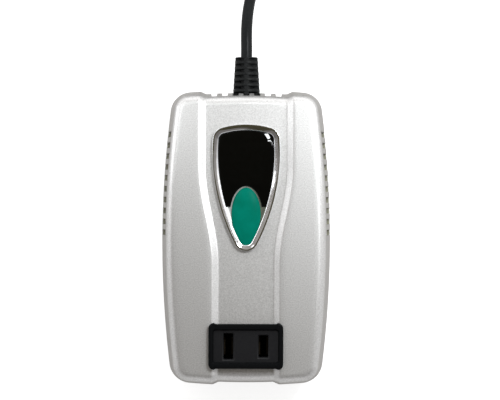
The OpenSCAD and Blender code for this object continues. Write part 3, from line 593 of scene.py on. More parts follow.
class Skin:
    """Rows of half stations, mirrored to closed rings, with the faces between them."""

    def __init__(self):
        self.points, self.faces = [], []

    def row(self, half):
        """Adds a ring from a half row and returns its point numbers, once round."""
        base = len(self.points)
        full = list(half) + [(-x, y, z) for x, y, z in half[-2:0:-1]]
        self.points += [tuple(map(float, p)) for p in full]
        return list(range(base, base + len(full)))

    def level(self, inset, z):
        """Adds a ring at one height that steps in with the band."""
        return self.row(settled_row(lambda w: BAND_DEPTH * w + inset, lambda w: z))

    def add(self, points, faces):
        """Adds another mesh and returns the number of its first point."""
        base = len(self.points)
        self.points += points
        self.faces += [tuple(i + base for i in face) for face in faces]
        return base

    def quad(self, a, b, c, d, flip=False):
        """Adds a face; a corner that comes twice counts once."""
        ring = list(dict.fromkeys((a, b, c, d)))
        if len(ring) > 2:
            self.faces.append(tuple(ring[::-1] if flip else ring))

    def strip(self, a, b, flip=False):
        """Faces between two rings, all the way round."""
        for f, g in around(len(a)):
            self.quad(a[f], a[g], b[g], b[f], flip)

    def bars(self, rings, wanted):
        """A closed bar through the rings along every run of wanted stretches."""
        for f, g in around(len(wanted)):
            if not wanted[f]:
                continue
            for a, b in zip(rings, rings[1:] + rings[:1]):
                self.quad(a[f], a[g], b[g], b[f])
            if not wanted[f - 1]:
                self.quad(*(ring[f] for ring in rings))
            if not wanted[g]:
                self.quad(*(ring[g] for ring in rings), flip=True)

    def used(self):
        """The points that faces stand on, and the faces."""
        kept = sorted({i for face in self.faces for i in face})
        place = {i: k for k, i in enumerate(kept)}
        return [self.points[i] for i in kept], [tuple(place[i] for i in face) for face in self.faces]


def half_of(f):
    """The half outline's station at a place of the full ring."""
    return min(f, 2 * (OUTLINE.n - 1) - f)


def in_side_slot(x, y):
    return x > CASE_W * WALL_FROM and any(
        abs(y - SIDE_VENT_Y + i * VENT_PITCH) < VENT_W / 2 for i in range(SIDE_VENTS))


def in_end_slot(x, y, first=0):
    return y > CASE_L * WALL_FROM and any(
        abs(x - i * VENT_PITCH) < END_SLOT_W / 2 for i in range(first, END_BARS // 2))


def slot_rows(in_slot, rows):
    """How many wall rows from the seam a slot takes out of each stretch of the ring."""
    flat = OUTLINE.at(SLOT_INSET)
    found = []
    for f, g in around(2 * OUTLINE.n - 2):
        middle = (flat[half_of(f)] + flat[half_of(g)]) / 2
        found.append(rows if in_slot(*middle) else 0)
    return found


def walls_with_slots(skin, outer, inner, cuts, upward):
    """The two faces of a wall and the sides of its slots; row 0 is at the seam."""
    for f, g in around(len(cuts)):
        for j in range(len(outer) - 1):
            a, b, c, d = outer[j], outer[j + 1], inner[j + 1], inner[j]
            if j < cuts[f]:
                if j >= cuts[f - 1]:
                    skin.quad(a[f], b[f], c[f], d[f], upward)
                if j >= cuts[g]:
                    skin.quad(a[g], b[g], c[g], d[g], not upward)
                if j + 1 == cuts[f]:
                    skin.quad(b[f], b[g], c[g], c[f], upward)
            else:
                skin.quad(a[f], a[g], b[g], b[f], not upward)
                skin.quad(d[f], d[g], c[g], c[f], upward)
                if j == 0:
                    skin.quad(a[f], a[g], d[g], d[f], upward)


# Front cover

VENT_ROWS, FILLET_STEPS, UPPER_ROWS = 4, 10, (0.33, 0.66)
BESIDE_STEPS, SLOPE_STEPS, FLOOR_STEPS, LINE_SAMPLES = 7, 18, 8, 241
SPINE_LOW, SPINE_TOP = OUTLET_Y - 1.0, BADGE_Y + 6.0
OUTLET_LAP, TOUCH = 1.1, 1e-4
# The dark strips in the side slots' feet, which paint the slots' shade
SHADE_STRIP_IN, SHADE_STRIP_LIFT, SHADE_STRIP_H, SHADE_STRIP_BACK_H, SHADE_STRIP_GAP = 0.3, 0.03, 0.35, 0.5, 0.05

# Shares of a line over the face: the slope's place where the line misses it, and its limits
SLOPE_FROM, SLOPE_TO = 0.5, 0.9
FROM_MIN, FROM_MAX, SLOPE_MIN, TO_MAX = 0.04, 0.8, 0.1, 0.93


def above_vents(w, share):
    """Height over the seam, a share of the way up from the vents to the rounded edge."""
    return VENT_H + share * (Z_TOP - BAND_DEPTH * w - EDGE_R - Z_SEAM - VENT_H)


def face_lines(ring):
    """Points from the rounded edge to the middle line, crowded where a line crosses the band's slope."""
    spread = np.linspace(0, 1, LINE_SAMPLES)
    target = np.clip(ring[:, 1], SPINE_LOW, SPINE_TOP)
    lines = []
    for (x0, y0, _), y1 in zip(ring, target):
        w = band_weight(x0 * (1 - spread), y0 + (y1 - y0) * spread)
        on_slope, on_floor = w > TOUCH, w > 1 - TOUCH
        start = spread[np.argmax(on_slope)] if on_slope.any() else SLOPE_FROM
        end = spread[np.argmax(on_floor)] if on_floor.any() else SLOPE_TO
        start = min(max(start, FROM_MIN), FROM_MAX)
        end = min(max(end, start + SLOPE_MIN), TO_MAX)
        s = np.concatenate([np.linspace(0, start, BESIDE_STEPS + 1)[1:],
                            np.linspace(start, end, SLOPE_STEPS + 1)[1:],
                            np.linspace(end, 1, FLOOR_STEPS + 1)[1:-1]])
        x, y = x0 * (1 - s), y0 + (y1 - y0) * s
        lines.append(np.column_stack([x, y, Z_TOP - BAND_DEPTH * band_weight(x, y)]))
    return np.array(lines), target


def open_outlet(skin, top):
    """Takes the faces under the outlet out of the skin and walls the opening down to the ceiling."""
    points = np.array(skin.points)
    middles = np.array([points[list(face)].mean(0) for face in skin.faces])
    taken = ((middles[:, 2] > Z_FLOOR - 1) & (abs(middles[:, 0]) < OUTLET_W / 2 - OUTLET_LAP)
             & (abs(middles[:, 1] - OUTLET_Y) < OUTLET_L / 2 - OUTLET_LAP))
    edges = {(a, b) for face, out in zip(skin.faces, taken) if out
             for a, b in zip(face, face[1:] + face[:1])}
    onward = {a: b for a, b in edges if (b, a) not in edges}
    loop = [min(onward)]
    while onward[loop[-1]] != loop[0]:
        loop.append(onward[loop[-1]])
    skin.faces = [face for face, out in zip(skin.faces, taken) if not out]
    feet = list(range(len(skin.points), len(skin.points) + len(loop)))
    skin.points += [(*skin.points[i][:2], CEILING) for i in loop]
    skin.strip(feet, loop, True)
    skin.faces += flat_faces([[skin.points[i] for i in ring] for ring in (top, feet)], top + feet, -1)


def case_front():
    """The front cover: slotted walls, a rounded edge, the face with its sunken band, and the inside."""
    skin = Skin()
    outer, inner = [], []
    for z in np.linspace(0.0, VENT_H, VENT_ROWS + 1):
        outer.append(skin.level(z * LEAN, Z_SEAM + z))
        inner.append(skin.level(z * LEAN + WALL, Z_SEAM + z))
    cuts = slot_rows(lambda x, y: in_side_slot(x, y) or in_end_slot(x, y), VENT_ROWS)
    walls_with_slots(skin, outer, inner, cuts, True)
    top = skin.level((CEILING - Z_SEAM) * LEAN + WALL, CEILING)
    skin.strip(inner[-1], top, True)
    rings = [outer[-1]]
    for share in UPPER_ROWS:
        rings.append(skin.row(settled_row(
            lambda w: BAND_DEPTH * w + above_vents(w, share) * LEAN,
            lambda w: Z_SEAM + above_vents(w, share))))
    for t in np.radians(np.linspace(0, 90, FILLET_STEPS + 1)):
        brim = settled_row(
            lambda w: BAND_DEPTH * w + above_vents(w, 1) * LEAN + EDGE_R * (1 - math.cos(t)),
            lambda w: Z_SEAM + above_vents(w, 1) + EDGE_R * math.sin(t))
        rings.append(skin.row(brim))
    lines, target = face_lines(brim)
    rings += [skin.row(lines[:, j]) for j in range(lines.shape[1])]
    for a, b in zip(rings, rings[1:]):
        skin.strip(a, b)
    heights = [round(float(y), 4) for y in target]
    spine = {y: len(skin.points) + k for k, y in enumerate(dict.fromkeys(heights))}
    skin.points += [(0.0, y, Z_FLOOR) for y in spine]
    skin.strip(rings[-1], [spine[heights[half_of(f)]] for f in range(len(top))])
    open_outlet(skin, top)
    return piece("case_front", skin.used(), "silver_plastic", "front_cover")


def vent_sills():
    """Painted shade: dark strips in the foot of every side slot, lying on the rear cover's edge, so that
    the slots look shaded.
    """
    skin = Skin()
    back = WALL - SHADE_STRIP_GAP
    section = ((SHADE_STRIP_IN, SHADE_STRIP_LIFT), (SHADE_STRIP_IN, SHADE_STRIP_H), (back, SHADE_STRIP_BACK_H), (back, SHADE_STRIP_LIFT))
    rings = [skin.level(inset, Z_SEAM + z) for inset, z in section]
    skin.bars(rings, slot_rows(in_side_slot, VENT_ROWS))
    return piece("vent_sills", skin.used(), "black_plastic", look="vent_shade_paint")


case_front()
vent_sills()

# Rear cover

SCREW_X_TOP, SCREW_Y_TOP = outline_centres(BAND_DEPTH)[3]
SCREW_X_LOW, SCREW_Y_LOW = outline_centres(BAND_DEPTH)[4]
REAR_SLOT_ROWS, FIRST_REAR_SLOT, BACK_FILLET_STEPS = 3, 2, 8
TONGUE_UP, TONGUE_ROOT, TONGUE_LAP, TONGUE_GAP, TONGUE_BACK = 1.6, 2.0, 0.1, 0.3, 1.3
BORE_LEAD_IN = ((0.35, 0.0), (0.1, 0.12), (0.0, 0.4))
ROUND_STEPS = 48


def case_back():
    """The rear cover: slotted walls, the tongue inside the seam, a rounded back and the screw bores."""
    skin = Skin()
    outer, inner = [], []
    for z in REAR_SLOT_H / REAR_SLOT_ROWS * np.arange(REAR_SLOT_ROWS + 2):
        outer.append(skin.level(z * LEAN, Z_SEAM - z))
        inner.append(skin.level(z * LEAN + WALL, Z_SEAM - z))
    cuts = slot_rows(lambda x, y: in_end_slot(x, y, FIRST_REAR_SLOT), REAR_SLOT_ROWS)
    walls_with_slots(skin, outer, inner, cuts, False)
    floor = skin.level((REAR_H - WALL) * LEAN + WALL, FOOT_H + WALL)
    skin.strip(inner[-1], floor)
    skin.faces.append(tuple(floor))
    section = ((WALL - TONGUE_LAP, -TONGUE_ROOT), (WALL + TONGUE_GAP, TONGUE_UP),
               (WALL + TONGUE_BACK, TONGUE_UP), (WALL + TONGUE_BACK, -TONGUE_ROOT))
    skin.bars([skin.level(inset, Z_SEAM + z) for inset, z in section], [not cut for cut in cuts])
    rings = [outer[-1]]
    for t in np.radians(np.linspace(0, 90, BACK_FILLET_STEPS + 1)):
        rings.append(skin.level((REAR_H - BACK_EDGE_R) * LEAN + BACK_EDGE_R * (1 - math.cos(t)),
                                FOOT_H + BACK_EDGE_R * (1 - math.sin(t))))
    for a, b in zip(rings, rings[1:]):
        skin.strip(a, b, True)
    loops, numbers = [[skin.points[i] for i in rings[-1]]], list(rings[-1])
    profile = [(BORE_R + d, FOOT_H + z) for d, z in BORE_LEAD_IN]
    profile += [(BORE_R, BORE_TOP), (PILOT_R, BORE_TOP), (PILOT_R, BORE_TOP + PILOT_L)]
    for side in (-1, 1):
        for x, y in ((SCREW_X_TOP, SCREW_Y_TOP), (SCREW_X_LOW, SCREW_Y_LOW)):
            bore = [at_height(circle(side * x, y, r), z) for r, z in profile]
            base = skin.add(*inside_out(*loft(bore, first=False)))
            loops.append(bore[0])
            numbers += range(base, base + len(bore[0]))
    skin.faces += flat_faces(loops, numbers, -1)
    return piece("case_back", skin.used(), "silver_plastic", "rear_cover")


def screw_head():
    """A pan head with a cross recess, seen from below, and its shank."""
    arm, width, depth, taper, crown_r = 1.75, 0.36, 1.0, 0.8, 0.92 * HEAD_R
    cross = []
    for q in range(4):
        c, s = math.cos(math.pi / 2 * q), math.sin(math.pi / 2 * q)
        cross += [(c * x - s * y, s * x + c * y) for x, y in ((arm, -width), (arm, width), (width, width))]
    profile = ((crown_r, 0.0), (1.06 * crown_r, 0.12), (HEAD_R, 0.4), (HEAD_R, HEAD_H),
               (SHANK_R, HEAD_H), (SHANK_R, HEAD_H + SHANK_L))
    rings = [at_height(circle(0, 0, r, ROUND_STEPS), z) for r, z in profile]
    well = [at_height(cross, 0.0), at_height([(x * taper, y * taper) for x, y in cross], depth)]
    face = rings[0] + well[0], flat_faces([rings[0], well[0]], range(ROUND_STEPS + len(cross)), -1)
    made = gathered(loft(rings, first=False), inside_out(*loft(well, first=False)), face)
    return mesh_object("screw", made, "zinc_steel")


def foot_pad():
    """A round rubber pad with a soft lower edge and a shallow dish in its underside."""
    r = FOOT_R
    profile = ((0.6, 0.12), (r * 0.45, 0.10), (r * 0.7, 0.0), (r - 0.5, 0.0), (r - 0.22, 0.06),
               (r - 0.06, 0.24), (r, 0.5), (r, FOOT_H + FOOT_SINK))
    rings = [at_height(circle(0, 0, d, ROUND_STEPS), z) for d, z in profile]
    return mesh_object("pad", loft(rings), "rubber")


case_back()
screws = repeated("back_screws", CORNERS, screw_head(), "zinc_steel",
                  Low_Width=2 * SCREW_X_LOW * MM, Top_Width=2 * SCREW_X_TOP * MM,
                  Length=(SCREW_Y_TOP - SCREW_Y_LOW) * MM,
                  Middle=(0, (SCREW_Y_TOP + SCREW_Y_LOW) / 2 * MM, (BORE_TOP - HEAD_H) * MM))
dress(screws, "zinc_steel", "case_screws")
pads = repeated("back_feet", CORNERS, foot_pad(), "rubber", Low_Width=FOOT_SPAN_X * MM,
                Top_Width=FOOT_SPAN_X * MM, Length=FOOT_SPAN_Y * MM, Middle=(0, 0, 0))
dress(pads, "rubber", "feet")

# Badge

BADGE_SIDE_R, BADGE_TIP_R, BADGE_SHOULDER_R, BADGE_CROWN_R = 72.0, 4.5, 4.5, 32.0
BADGE_STEP = 0.45


def badge_arcs():
    """The shield's arcs as centre, radius and two angles, anticlockwise from its tip."""
    side = np.array([BADGE_W / 2 - BADGE_SIDE_R, BADGE_Y])
    crown = np.array([0, BADGE_Y + BADGE_RISE - BADGE_CROWN_R])
    tip = np.array([0, BADGE_Y - math.sqrt((BADGE_SIDE_R - BADGE_TIP_R) ** 2 - side[0] ** 2)])
    shoulder = meet(side, BADGE_SIDE_R - BADGE_SHOULDER_R, crown, BADGE_CROWN_R - BADGE_SHOULDER_R, 1)
    sa, ca, ta = heading(side, shoulder), heading(crown, shoulder), heading(side, tip)
    flip = np.array([-1, 1])
    return [(side, BADGE_SIDE_R, ta, sa), (shoulder, BADGE_SHOULDER_R, sa, ca),
            (crown, BADGE_CROWN_R, ca, 180 - ca),
            (shoulder * flip, BADGE_SHOULDER_R, 180 - ca, 180 - sa),
            (side * flip, BADGE_SIDE_R, 180 - sa, 180 - ta), (tip, BADGE_TIP_R, 180 - ta, 360 + ta)]


BADGE = badge_arcs()
BADGE_TIP_Y = BADGE[5][0][1] - BADGE_TIP_R
BADGE_TOP = Z_FLOOR + BADGE_H
LAND_Z = BADGE_TOP - 0.9
OVAL_UP, OVAL_DOWN, OVAL_PINCH = 0.47, 0.53, 0.12
OVAL_Y = BADGE_TIP_Y + 1.8 + OVAL_L * OVAL_DOWN
OVAL_GAP = 0.55
PLATE_LOW_Y = BADGE_Y - 19.9
PLATE_GAP, ARCH_FOOT = 0.02, 0.05
RIM_SINK, LAND_SINK, PLATE_SINK, OVAL_SINK = 0.45, 0.25, 0.3, 0.35
DOME_TO, DOME_STEPS = 86, 21

# The rim's slopes in degrees, by the height over the badge's middle: near the crest, outside, inside
RIM_EDGE_R, RIM_EDGE_STEPS, RIM_CREST_W, RIM_OUTER_W = 0.12, 7, 0.6, 1.2
RIM_INSETS = (0.4, 0.6, 0.75, 0.95, 1.15, 1.3, 1.45, 1.6, 1.75, 1.95)
RIM_LIP_W, RIM_LIP_DROP = 0.07, 0.08
RIM_CREST = (-13, -7, -2, 4), (2, 9, 9, 1)
RIM_OUTER = (-10, 2, 8, 9.5), (17, 12, 11, 4)
RIM_INNER = (-34, -26, -10, 2, 8, 9.5), (16, 22, 24, 20, 18, 9)
RIM_TURN, RIM_TURN_RIGHT = 3.0, ((-16, -10, -5, 4, 8), (1.9, 1, 0.3, 0.3, 1))

# The plate's eased right shoulder: its middle, and rings of radius and height over the land
SHOULDER_C = (3.92, BADGE_Y + 3.43)
SHOULDER_RINGS = ((9.9, 0.2), (5.15, 0.21), (5.0, 0.23), (4.8, 0.278), (4.5, 0.35),
                  (4.2, 0.422), (3.95, 0.482), (3.8, 0.503), (3.65, 0.508))
CRISP_STEP, BROAD_STEP = 0.035, 0.006
EASE_FROM, EASE_IN, EASE_TO, EASE_OUT = -15, 25, 95, 29


def shield(inset):
    """The badge's outline, moved inwards by inset."""
    points = []
    for c, r, a0, a1 in BADGE:
        n = max(6, round(math.radians(a1 - a0) * r / BADGE_STEP))
        for a in np.radians(np.linspace(a0, a1, n, endpoint=False)):
            points.append((c[0] + (r - inset) * math.cos(a), c[1] + (r - inset) * math.sin(a)))
    return points


def oval(grow, share=1.0, n=96):
    """The dome's outline: longer and a little pinched below its middle."""
    points = []
    for a in np.linspace(0, 2 * math.pi, n, endpoint=False):
        s = math.sin(a)
        long = OVAL_L * (OVAL_UP if s > 0 else OVAL_DOWN)
        wide = (OVAL_W / 2 + grow) * (1 if s > 0 else 1 + OVAL_PINCH * s)
        points.append((share * wide * math.cos(a), OVAL_Y + share * (long + grow) * s))
    return points


def badge_rim():
    """The chrome rim: an upright outer side, a crest, then a slope that changes round the badge."""
    r = RIM_EDGE_R
    rings = [at_height(shield(0.0), Z_FLOOR - RIM_SINK)]
    for t in np.radians(np.linspace(0, 90, RIM_EDGE_STEPS + 1)):
        rings.append(at_height(shield(r * (1 - math.cos(t))), BADGE_TOP - r * (1 - math.sin(t))))
    x, y = np.array(shield(0.0)).T
    up = y - BADGE_Y
    turn = RIM_TURN * np.tanh(x / RIM_TURN) * np.where(x > 0, np.interp(up, *RIM_TURN_RIGHT), 1)
    crest = np.tan(np.radians(np.interp(up, *RIM_CREST)))
    outer = np.tan(np.radians(np.interp(up, *RIM_OUTER)))
    inner = np.tan(np.radians(np.interp(up, *RIM_INNER) - turn))
    for d in RIM_INSETS:
        drop = crest * (min(d, RIM_CREST_W) - r)
        drop += outer * max(min(d, RIM_OUTER_W) - RIM_CREST_W, 0) + inner * max(d - RIM_OUTER_W, 0)
        rings.append([(*p, BADGE_TOP - k) for p, k in zip(shield(d), drop)])
    lip = shield(BADGE_RIM - RIM_LIP_W)
    rings.append([(*p, BADGE_TOP - k - RIM_LIP_DROP) for p, k in zip(lip, drop)])
    rings += [at_height(shield(BADGE_RIM), z) for z in (LAND_Z, LAND_Z - LAND_SINK)]
    return piece("badge_rim", loft(rings), "chrome", "badge_frame")


def badge_land():
    """The satin floor inside the rim, dished at its edge; it shows below the black plate."""
    profile = ((0.0, -0.24), (0.0, 0.0), (0.35, -0.07), (0.7, -0.12), (1.1, -0.14))
    rings = [at_height(shield(BADGE_RIM + d), LAND_Z + z) for d, z in profile]
    return piece("badge_land", loft(rings), "chrome", look="satin_chrome")


def offset_loop(loop, d):
    """A loop moved inwards by d along its corners' own directions."""
    along = np.roll(loop, -1, 0) - np.roll(loop, 1, 0)
    along /= np.linalg.norm(along, axis=1)[:, None]
    return loop + d * np.column_stack([-along[:, 1], along[:, 0]])


def plate_outline():
    """The shield's inside above the plate's lower edge, cut round the dome."""
    inside = shield(BADGE_RIM + PLATE_GAP)
    start = next(i for i in range(len(inside)) if inside[i - 1][1] < PLATE_LOW_Y <= inside[i][1])
    upper = [p for p in inside[start:] + inside[:start] if p[1] >= PLATE_LOW_Y]
    arch = [p for p in oval(OVAL_GAP) if p[1] > PLATE_LOW_Y]
    arch.sort(key=lambda p: -math.atan2(p[1] - PLATE_LOW_Y + 1, p[0]))
    foot = arch[0][0] - ARCH_FOOT
    right, left = upper[0][0] + PLATE_GAP, upper[-1][0] - PLATE_GAP
    return np.array([(right, PLATE_LOW_Y), *upper, (left, PLATE_LOW_Y), (foot, PLATE_LOW_Y),
                     *arch, (-foot, PLATE_LOW_Y)])


def badge_face():
    """The black plate with a crisp edge, and its right shoulder eased to catch the key light."""
    loop = plate_outline()
    inwards = np.array(SHOULDER_C) - loop
    far = np.linalg.norm(inwards, axis=1)
    turn = np.degrees(np.arctan2(-inwards[:, 1], -inwards[:, 0]))
    eased = (ease((turn - EASE_FROM) / EASE_IN) * ease((EASE_TO - turn) / EASE_OUT))[:, None]
    rings = [at_height(loop, LAND_Z - PLATE_SINK)]
    for k, (radius, up) in enumerate(SHOULDER_RINGS):
        crisp = offset_loop(loop, CRISP_STEP * k)
        broad = loop + inwards * np.maximum(1 - radius / far, BROAD_STEP * k)[:, None]
        rings.append(at_height(crisp + eased * (broad - crisp), LAND_Z + up))
    points, faces = loft(rings, last=False)
    faces += flat_faces(rings[-1:], range(len(points) - len(loop), len(points)), 1)
    return piece("badge_face", (points, faces), "gloss_black", "badge_plate")


def badge_dome():
    """The green dome on the land, rising from the oval to a small flat on top."""
    rings = [at_height(oval(0.0), LAND_Z - OVAL_SINK)]
    for t in np.radians(np.linspace(0, DOME_TO, DOME_STEPS + 1)):
        rings.append(at_height(oval(0.0, math.cos(t)), LAND_Z + OVAL_RISE * math.sin(t)))
    return piece("badge_dome", loft(rings), "gloss_green", "badge_oval", sharp=50)


badge_rim()
badge_land()
badge_face()
badge_dome()

# Outlet

OUTLET_TOP = Z_TOP + OUTLET_H
FACE_Z = OUTLET_TOP - 1.0
SOCKET_Z = Z_TOP - OUTLET_DEPTH
FACE_BLOCK_H = 13.0
CUP_IN, FACE_IN_W, FACE_IN_L = 2.6, 3.7, 5.4
FRAME_R, CUP_R, FACE_R, FRAME_NOTCH = 2.0, 0.8, 0.9, 0.35
FRAME_EDGE_R, FRAME_SINK, FRAME_STEPS, NOTCH_FROM, NOTCH_TO = 0.5, 0.2, 7, 0.43, 0.405
CUP_FLOOR, CUP_SPREAD, SLOT_CORNER = 0.8, 0.1, 0.25


def outlet_loop(w, l, r, z, notch=0.0):
    """A rounded oblong about the outlet's middle; its long edges may sit back by notch."""
    points = []
    for q, corner in enumerate(round_corners(w, l, r, FRAME_STEPS)):
        points += corner
        if q in (0, 2):
            edge = ((NOTCH_FROM, 0.0), (NOTCH_TO, notch), (-NOTCH_TO, notch), (-NOTCH_FROM, 0.0))
            points += [((1 - q) * x * w, (1 - q) * (l / 2 - d)) for x, d in edge]
    return [(x, y + OUTLET_Y, z) for x, y in points]


def outlet_frame():
    """The raised frame with its notched corners, sloping down to the face inside it, and the cup below."""
    cup_w, cup_l = OUTLET_W - CUP_IN, OUTLET_L - CUP_IN
    face_w, face_l = OUTLET_W - FACE_IN_W, OUTLET_L - FACE_IN_L
    rings = [outlet_loop(cup_w, cup_l, CUP_R, z) for z in (SOCKET_Z, Z_FLOOR - FRAME_SINK)]
    rings += [outlet_loop(OUTLET_W, OUTLET_L, FRAME_R, z, FRAME_NOTCH)
              for z in (Z_FLOOR - FRAME_SINK, OUTLET_TOP - FRAME_EDGE_R)]
    for t in np.radians((25, 50, 75, 90)):
        d = 2 * FRAME_EDGE_R * (1 - math.cos(t))
        rings.append(outlet_loop(OUTLET_W - d, OUTLET_L - d, FRAME_R,
                                 OUTLET_TOP - FRAME_EDGE_R * (1 - math.sin(t)), FRAME_NOTCH))
    for grow, z in ((1.0, 0.0), (0.86, -0.04), (0.76, -0.14), (0.0, -1.0)):
        rings.append(outlet_loop(face_w + grow, face_l + grow, FACE_R, OUTLET_TOP + z))
    rings.append(outlet_loop(face_w + CUP_SPREAD, face_l + CUP_SPREAD, FACE_R, SOCKET_Z + CUP_FLOOR))
    return piece("outlet_frame", loft(rings), "black_plastic", "socket_body", look="frame_black")


def outlet_face():
    """The block inside the frame with its two funnelled slots."""
    under, over = ([outlet_loop(OUTLET_W - FACE_IN_W, OUTLET_L - FACE_IN_L, FACE_R, z)]
                   for z in (FACE_Z - FACE_BLOCK_H, FACE_Z))
    parts = [loft([under[0], over[0]], first=False, last=False)]
    funnel = ((0.5, 0.0), (0.42, -0.06), (0.04, -0.44), (0.0, -0.55), (0.0, -FACE_BLOCK_H))
    for middle, long in ((-SLOT_PITCH / 2, SLOT_LONG), (SLOT_PITCH / 2, SLOT_SHORT)):
        slot = []
        for grow, z in funnel:
            section = sum(round_corners(SLOT_W + 2 * grow, long + 2 * grow, SLOT_CORNER, 1), [])
            slot.append([(middle + x, OUTLET_Y + y, FACE_Z + z) for x, y in section])
        parts.append(loft(slot, first=False, last=False))
        over.append(slot[0])
        under.append(slot[-1])
    for loops, up in ((over, 1), (under, -1)):
        flat = sum(loops, [])
        parts.append((flat, flat_faces(loops, range(len(flat)), up)))
    return piece("outlet_face", gathered(*parts), "black_plastic")


outlet_frame()
outlet_face()

# Strain relief

GROOVE_W, RELIEF_DISC, CORE_R = 1.0, 0.4, CORD_D / 2 + 0.3
GROOVE_Y = RELIEF_DISC - RELIEF_SEAT
RIB_PITCH = (RELIEF_L - RELIEF_DISC - GROOVE_W - GROOVE_Y) / (RELIEF_GROOVES - 1)
RIB_W = RIB_PITCH - GROOVE_W
FLANGE_R, FLANGE_FROM, FLANGE_TO, NECK_R, NECK_FROM = 4.9, -5.0, -3.0, 3.5, -2.9
SPINE_HALF_W, SPINE_CREST, SPINE_ROOT, SPINE_EDGE, SPINE_BACK = 0.95, 0.6, 1.5, 0.3, 0.08
CORE_STEPS, RIB_STEPS = 56, 64


def relief_radius(y):
    return RELIEF_BASE / 2 + (RELIEF_TIP - RELIEF_BASE) / 2 * y / RELIEF_L


def across_y(radius, y, n):
    return [(radius * math.sin(a), y, radius * math.cos(a))
            for a in np.linspace(0, 2 * math.pi, n, endpoint=False)]


def relief_core():
    """A tapered core with a collar in the wall, four spines and a disc at its tip."""
    base, tip, disc_y = RELIEF_BASE / 2, RELIEF_TIP / 2, RELIEF_L - RELIEF_DISC
    profile = [(FLANGE_R, FLANGE_FROM), (FLANGE_R, FLANGE_TO), (NECK_R, NECK_FROM), (NECK_R, -RELIEF_SEAT),
               (base, -RELIEF_SEAT), (base, GROOVE_Y - 0.08), (base - 0.08, GROOVE_Y),
               (CORE_R, GROOVE_Y + 0.01)]
    profile += [(CORE_R, y) for y in np.linspace(1.0, RELIEF_L - 1.0, 12)]
    profile += [(CORE_R, disc_y - 0.01), (tip - 0.05, disc_y), (tip, disc_y + 0.06),
                (tip, RELIEF_L - 0.15), (tip - 0.12, RELIEF_L), (CORD_D / 2 + 0.02, RELIEF_L)]
    parts = [loft([across_y(r, y, CORE_STEPS) for r, y in profile])]
    for q in range(4):
        c, s = math.cos(math.pi / 2 * q), math.sin(math.pi / 2 * q)
        rings = []
        for y in np.linspace(GROOVE_Y - 0.2, RELIEF_L - 0.3, 11):
            reach = min(relief_radius(y), base) - SPINE_BACK
            half = [(SPINE_HALF_W, SPINE_ROOT), (SPINE_HALF_W, reach - SPINE_EDGE), (SPINE_CREST, reach)]
            section = half + [(-x, z) for x, z in half[::-1]]
            rings.append([(c * x + s * z, y, c * z - s * x) for x, z in section][::-1])
        parts.append(loft(rings))
    points, faces = gathered(*parts)
    made = np.array(points) + (0, WALL_Y, Z_SEAM), faces
    return piece("relief_core", made, "soft_black", "strain_relief")


def relief_ribs():
    """A row of ribs on the core, smaller towards its tip."""
    count, start = RELIEF_GROOVES - 1, GROOVE_Y + GROOVE_W + RIB_W / 2
    far, root, edge = relief_radius(start), CORE_R - 0.3, RIB_W / 2
    half = [(root, -edge), (far - 0.2, -edge), (far - 0.06, 0.06 - edge), (far, 0.2 - edge)]
    profile = half + [(r, -y) for r, y in half[::-1]]
    rib = mesh_object("rib", loft([across_y(r, y, RIB_STEPS) for r, y in profile]), "soft_black")
    share = relief_radius(start + (count - 1) * RIB_PITCH) / far
    row = repeated("relief_ribs", ROW, rib, "soft_black", Count=count,
                   Start=(0, (WALL_Y + start) * MM, Z_SEAM * MM), Step=(0, RIB_PITCH * MM, 0),
                   End_Scale=(share, 1.0, share))
    return dress(row, "soft_black")


RELIEF = [relief_core(), relief_ribs()]

# Tie and plug

TIE_HALF_W, TIE_T, TIE_R, TIE_IN, TIE_EDGE, TIE_SOFT = 2.5, 0.6, 1.0, 0.02, 0.45, 0.2
TIE_SLACK_W, TIE_SLACK_H, FLAP_RISE = 0.8, 0.2, 0.55
PLUG_ROUND, PLUG_SMOOTHING = 0.47, 6
GRIP_COUNT, GRIP_PITCH, GRIP_Y, GRIP_RISE = 6, 2.2, 18.0, 6.42
GRIP_HALF_W, GRIP_HALF_H, GRIP_STEPS, GRIP_SPREAD, GRIP_SHARP = 0.55, 0.42, 14, 1.25, 60

# The plug's width and thickness along its length
PLUG_LEVELS = ((0, 8, 8), (1.5, 9, 8.6), (7, 9.6, 9), (10, 14, 10.4), (14, 22, 12), (18, 29, 13.2),
               (23, 34, 13.7), (27, 35.3, 13.7), (32.2, 35.3, 13.7), (33, 34.1, 12.5))


def cord_strap():
    """A flat strap round the coil's two layers, its end lying over itself on top."""
    mid_r = COIL_R - COIL_PITCH * COIL_TURNS / 2
    w = COIL_PITCH * (COIL_TURNS - 1) + CORD_D + TIE_SLACK_W
    h = LAYERS[1] - LAYERS[0] + CORD_D + TIE_SLACK_H
    a = math.radians(COIL_A + 180)
    out, along = np.array([math.cos(a), math.sin(a), 0]), np.array([-math.sin(a), math.cos(a), 0])
    middle = np.array([*COIL_C, (LAYERS[0] + LAYERS[1]) / 2]) + mid_r * out

    def placed(x, v, z):
        return tuple(middle + x * out + v * along + (0, 0, z))

    bands = []
    for grow, v in ((TIE_IN, -TIE_HALF_W), (TIE_EDGE, -TIE_HALF_W), (TIE_T, TIE_SOFT - TIE_HALF_W),
                    (TIE_T, TIE_HALF_W - TIE_SOFT), (TIE_EDGE, TIE_HALF_W), (TIE_IN, TIE_HALF_W),
                    (TIE_IN, -TIE_HALF_W)):
        r = TIE_R + (grow if grow > TIE_IN else 0)
        loop = sum(round_corners(w + 2 * grow, h + 2 * grow, r, 8), [])
        bands.append([placed(x, v, z) for x, z in loop])
    flap = []
    for x, rise in ((-6.0, 0.05), (-5.6, 0.42), (3.0, 0.42), (3.5, 0.30), (3.7, 0.05)):
        section = ((-2.4, 0), (2.4, 0), (2.4, rise * 0.7), (2.2, rise), (-2.2, rise), (-2.4, rise * 0.7))
        flap.append([placed(x, v, h / 2 + FLAP_RISE + u) for v, u in section])
    made = gathered(inside_out(*loft(bands, first=False, last=False)), loft(flap))
    return piece("cord_strap", made, "tie_black", "cord_tie")


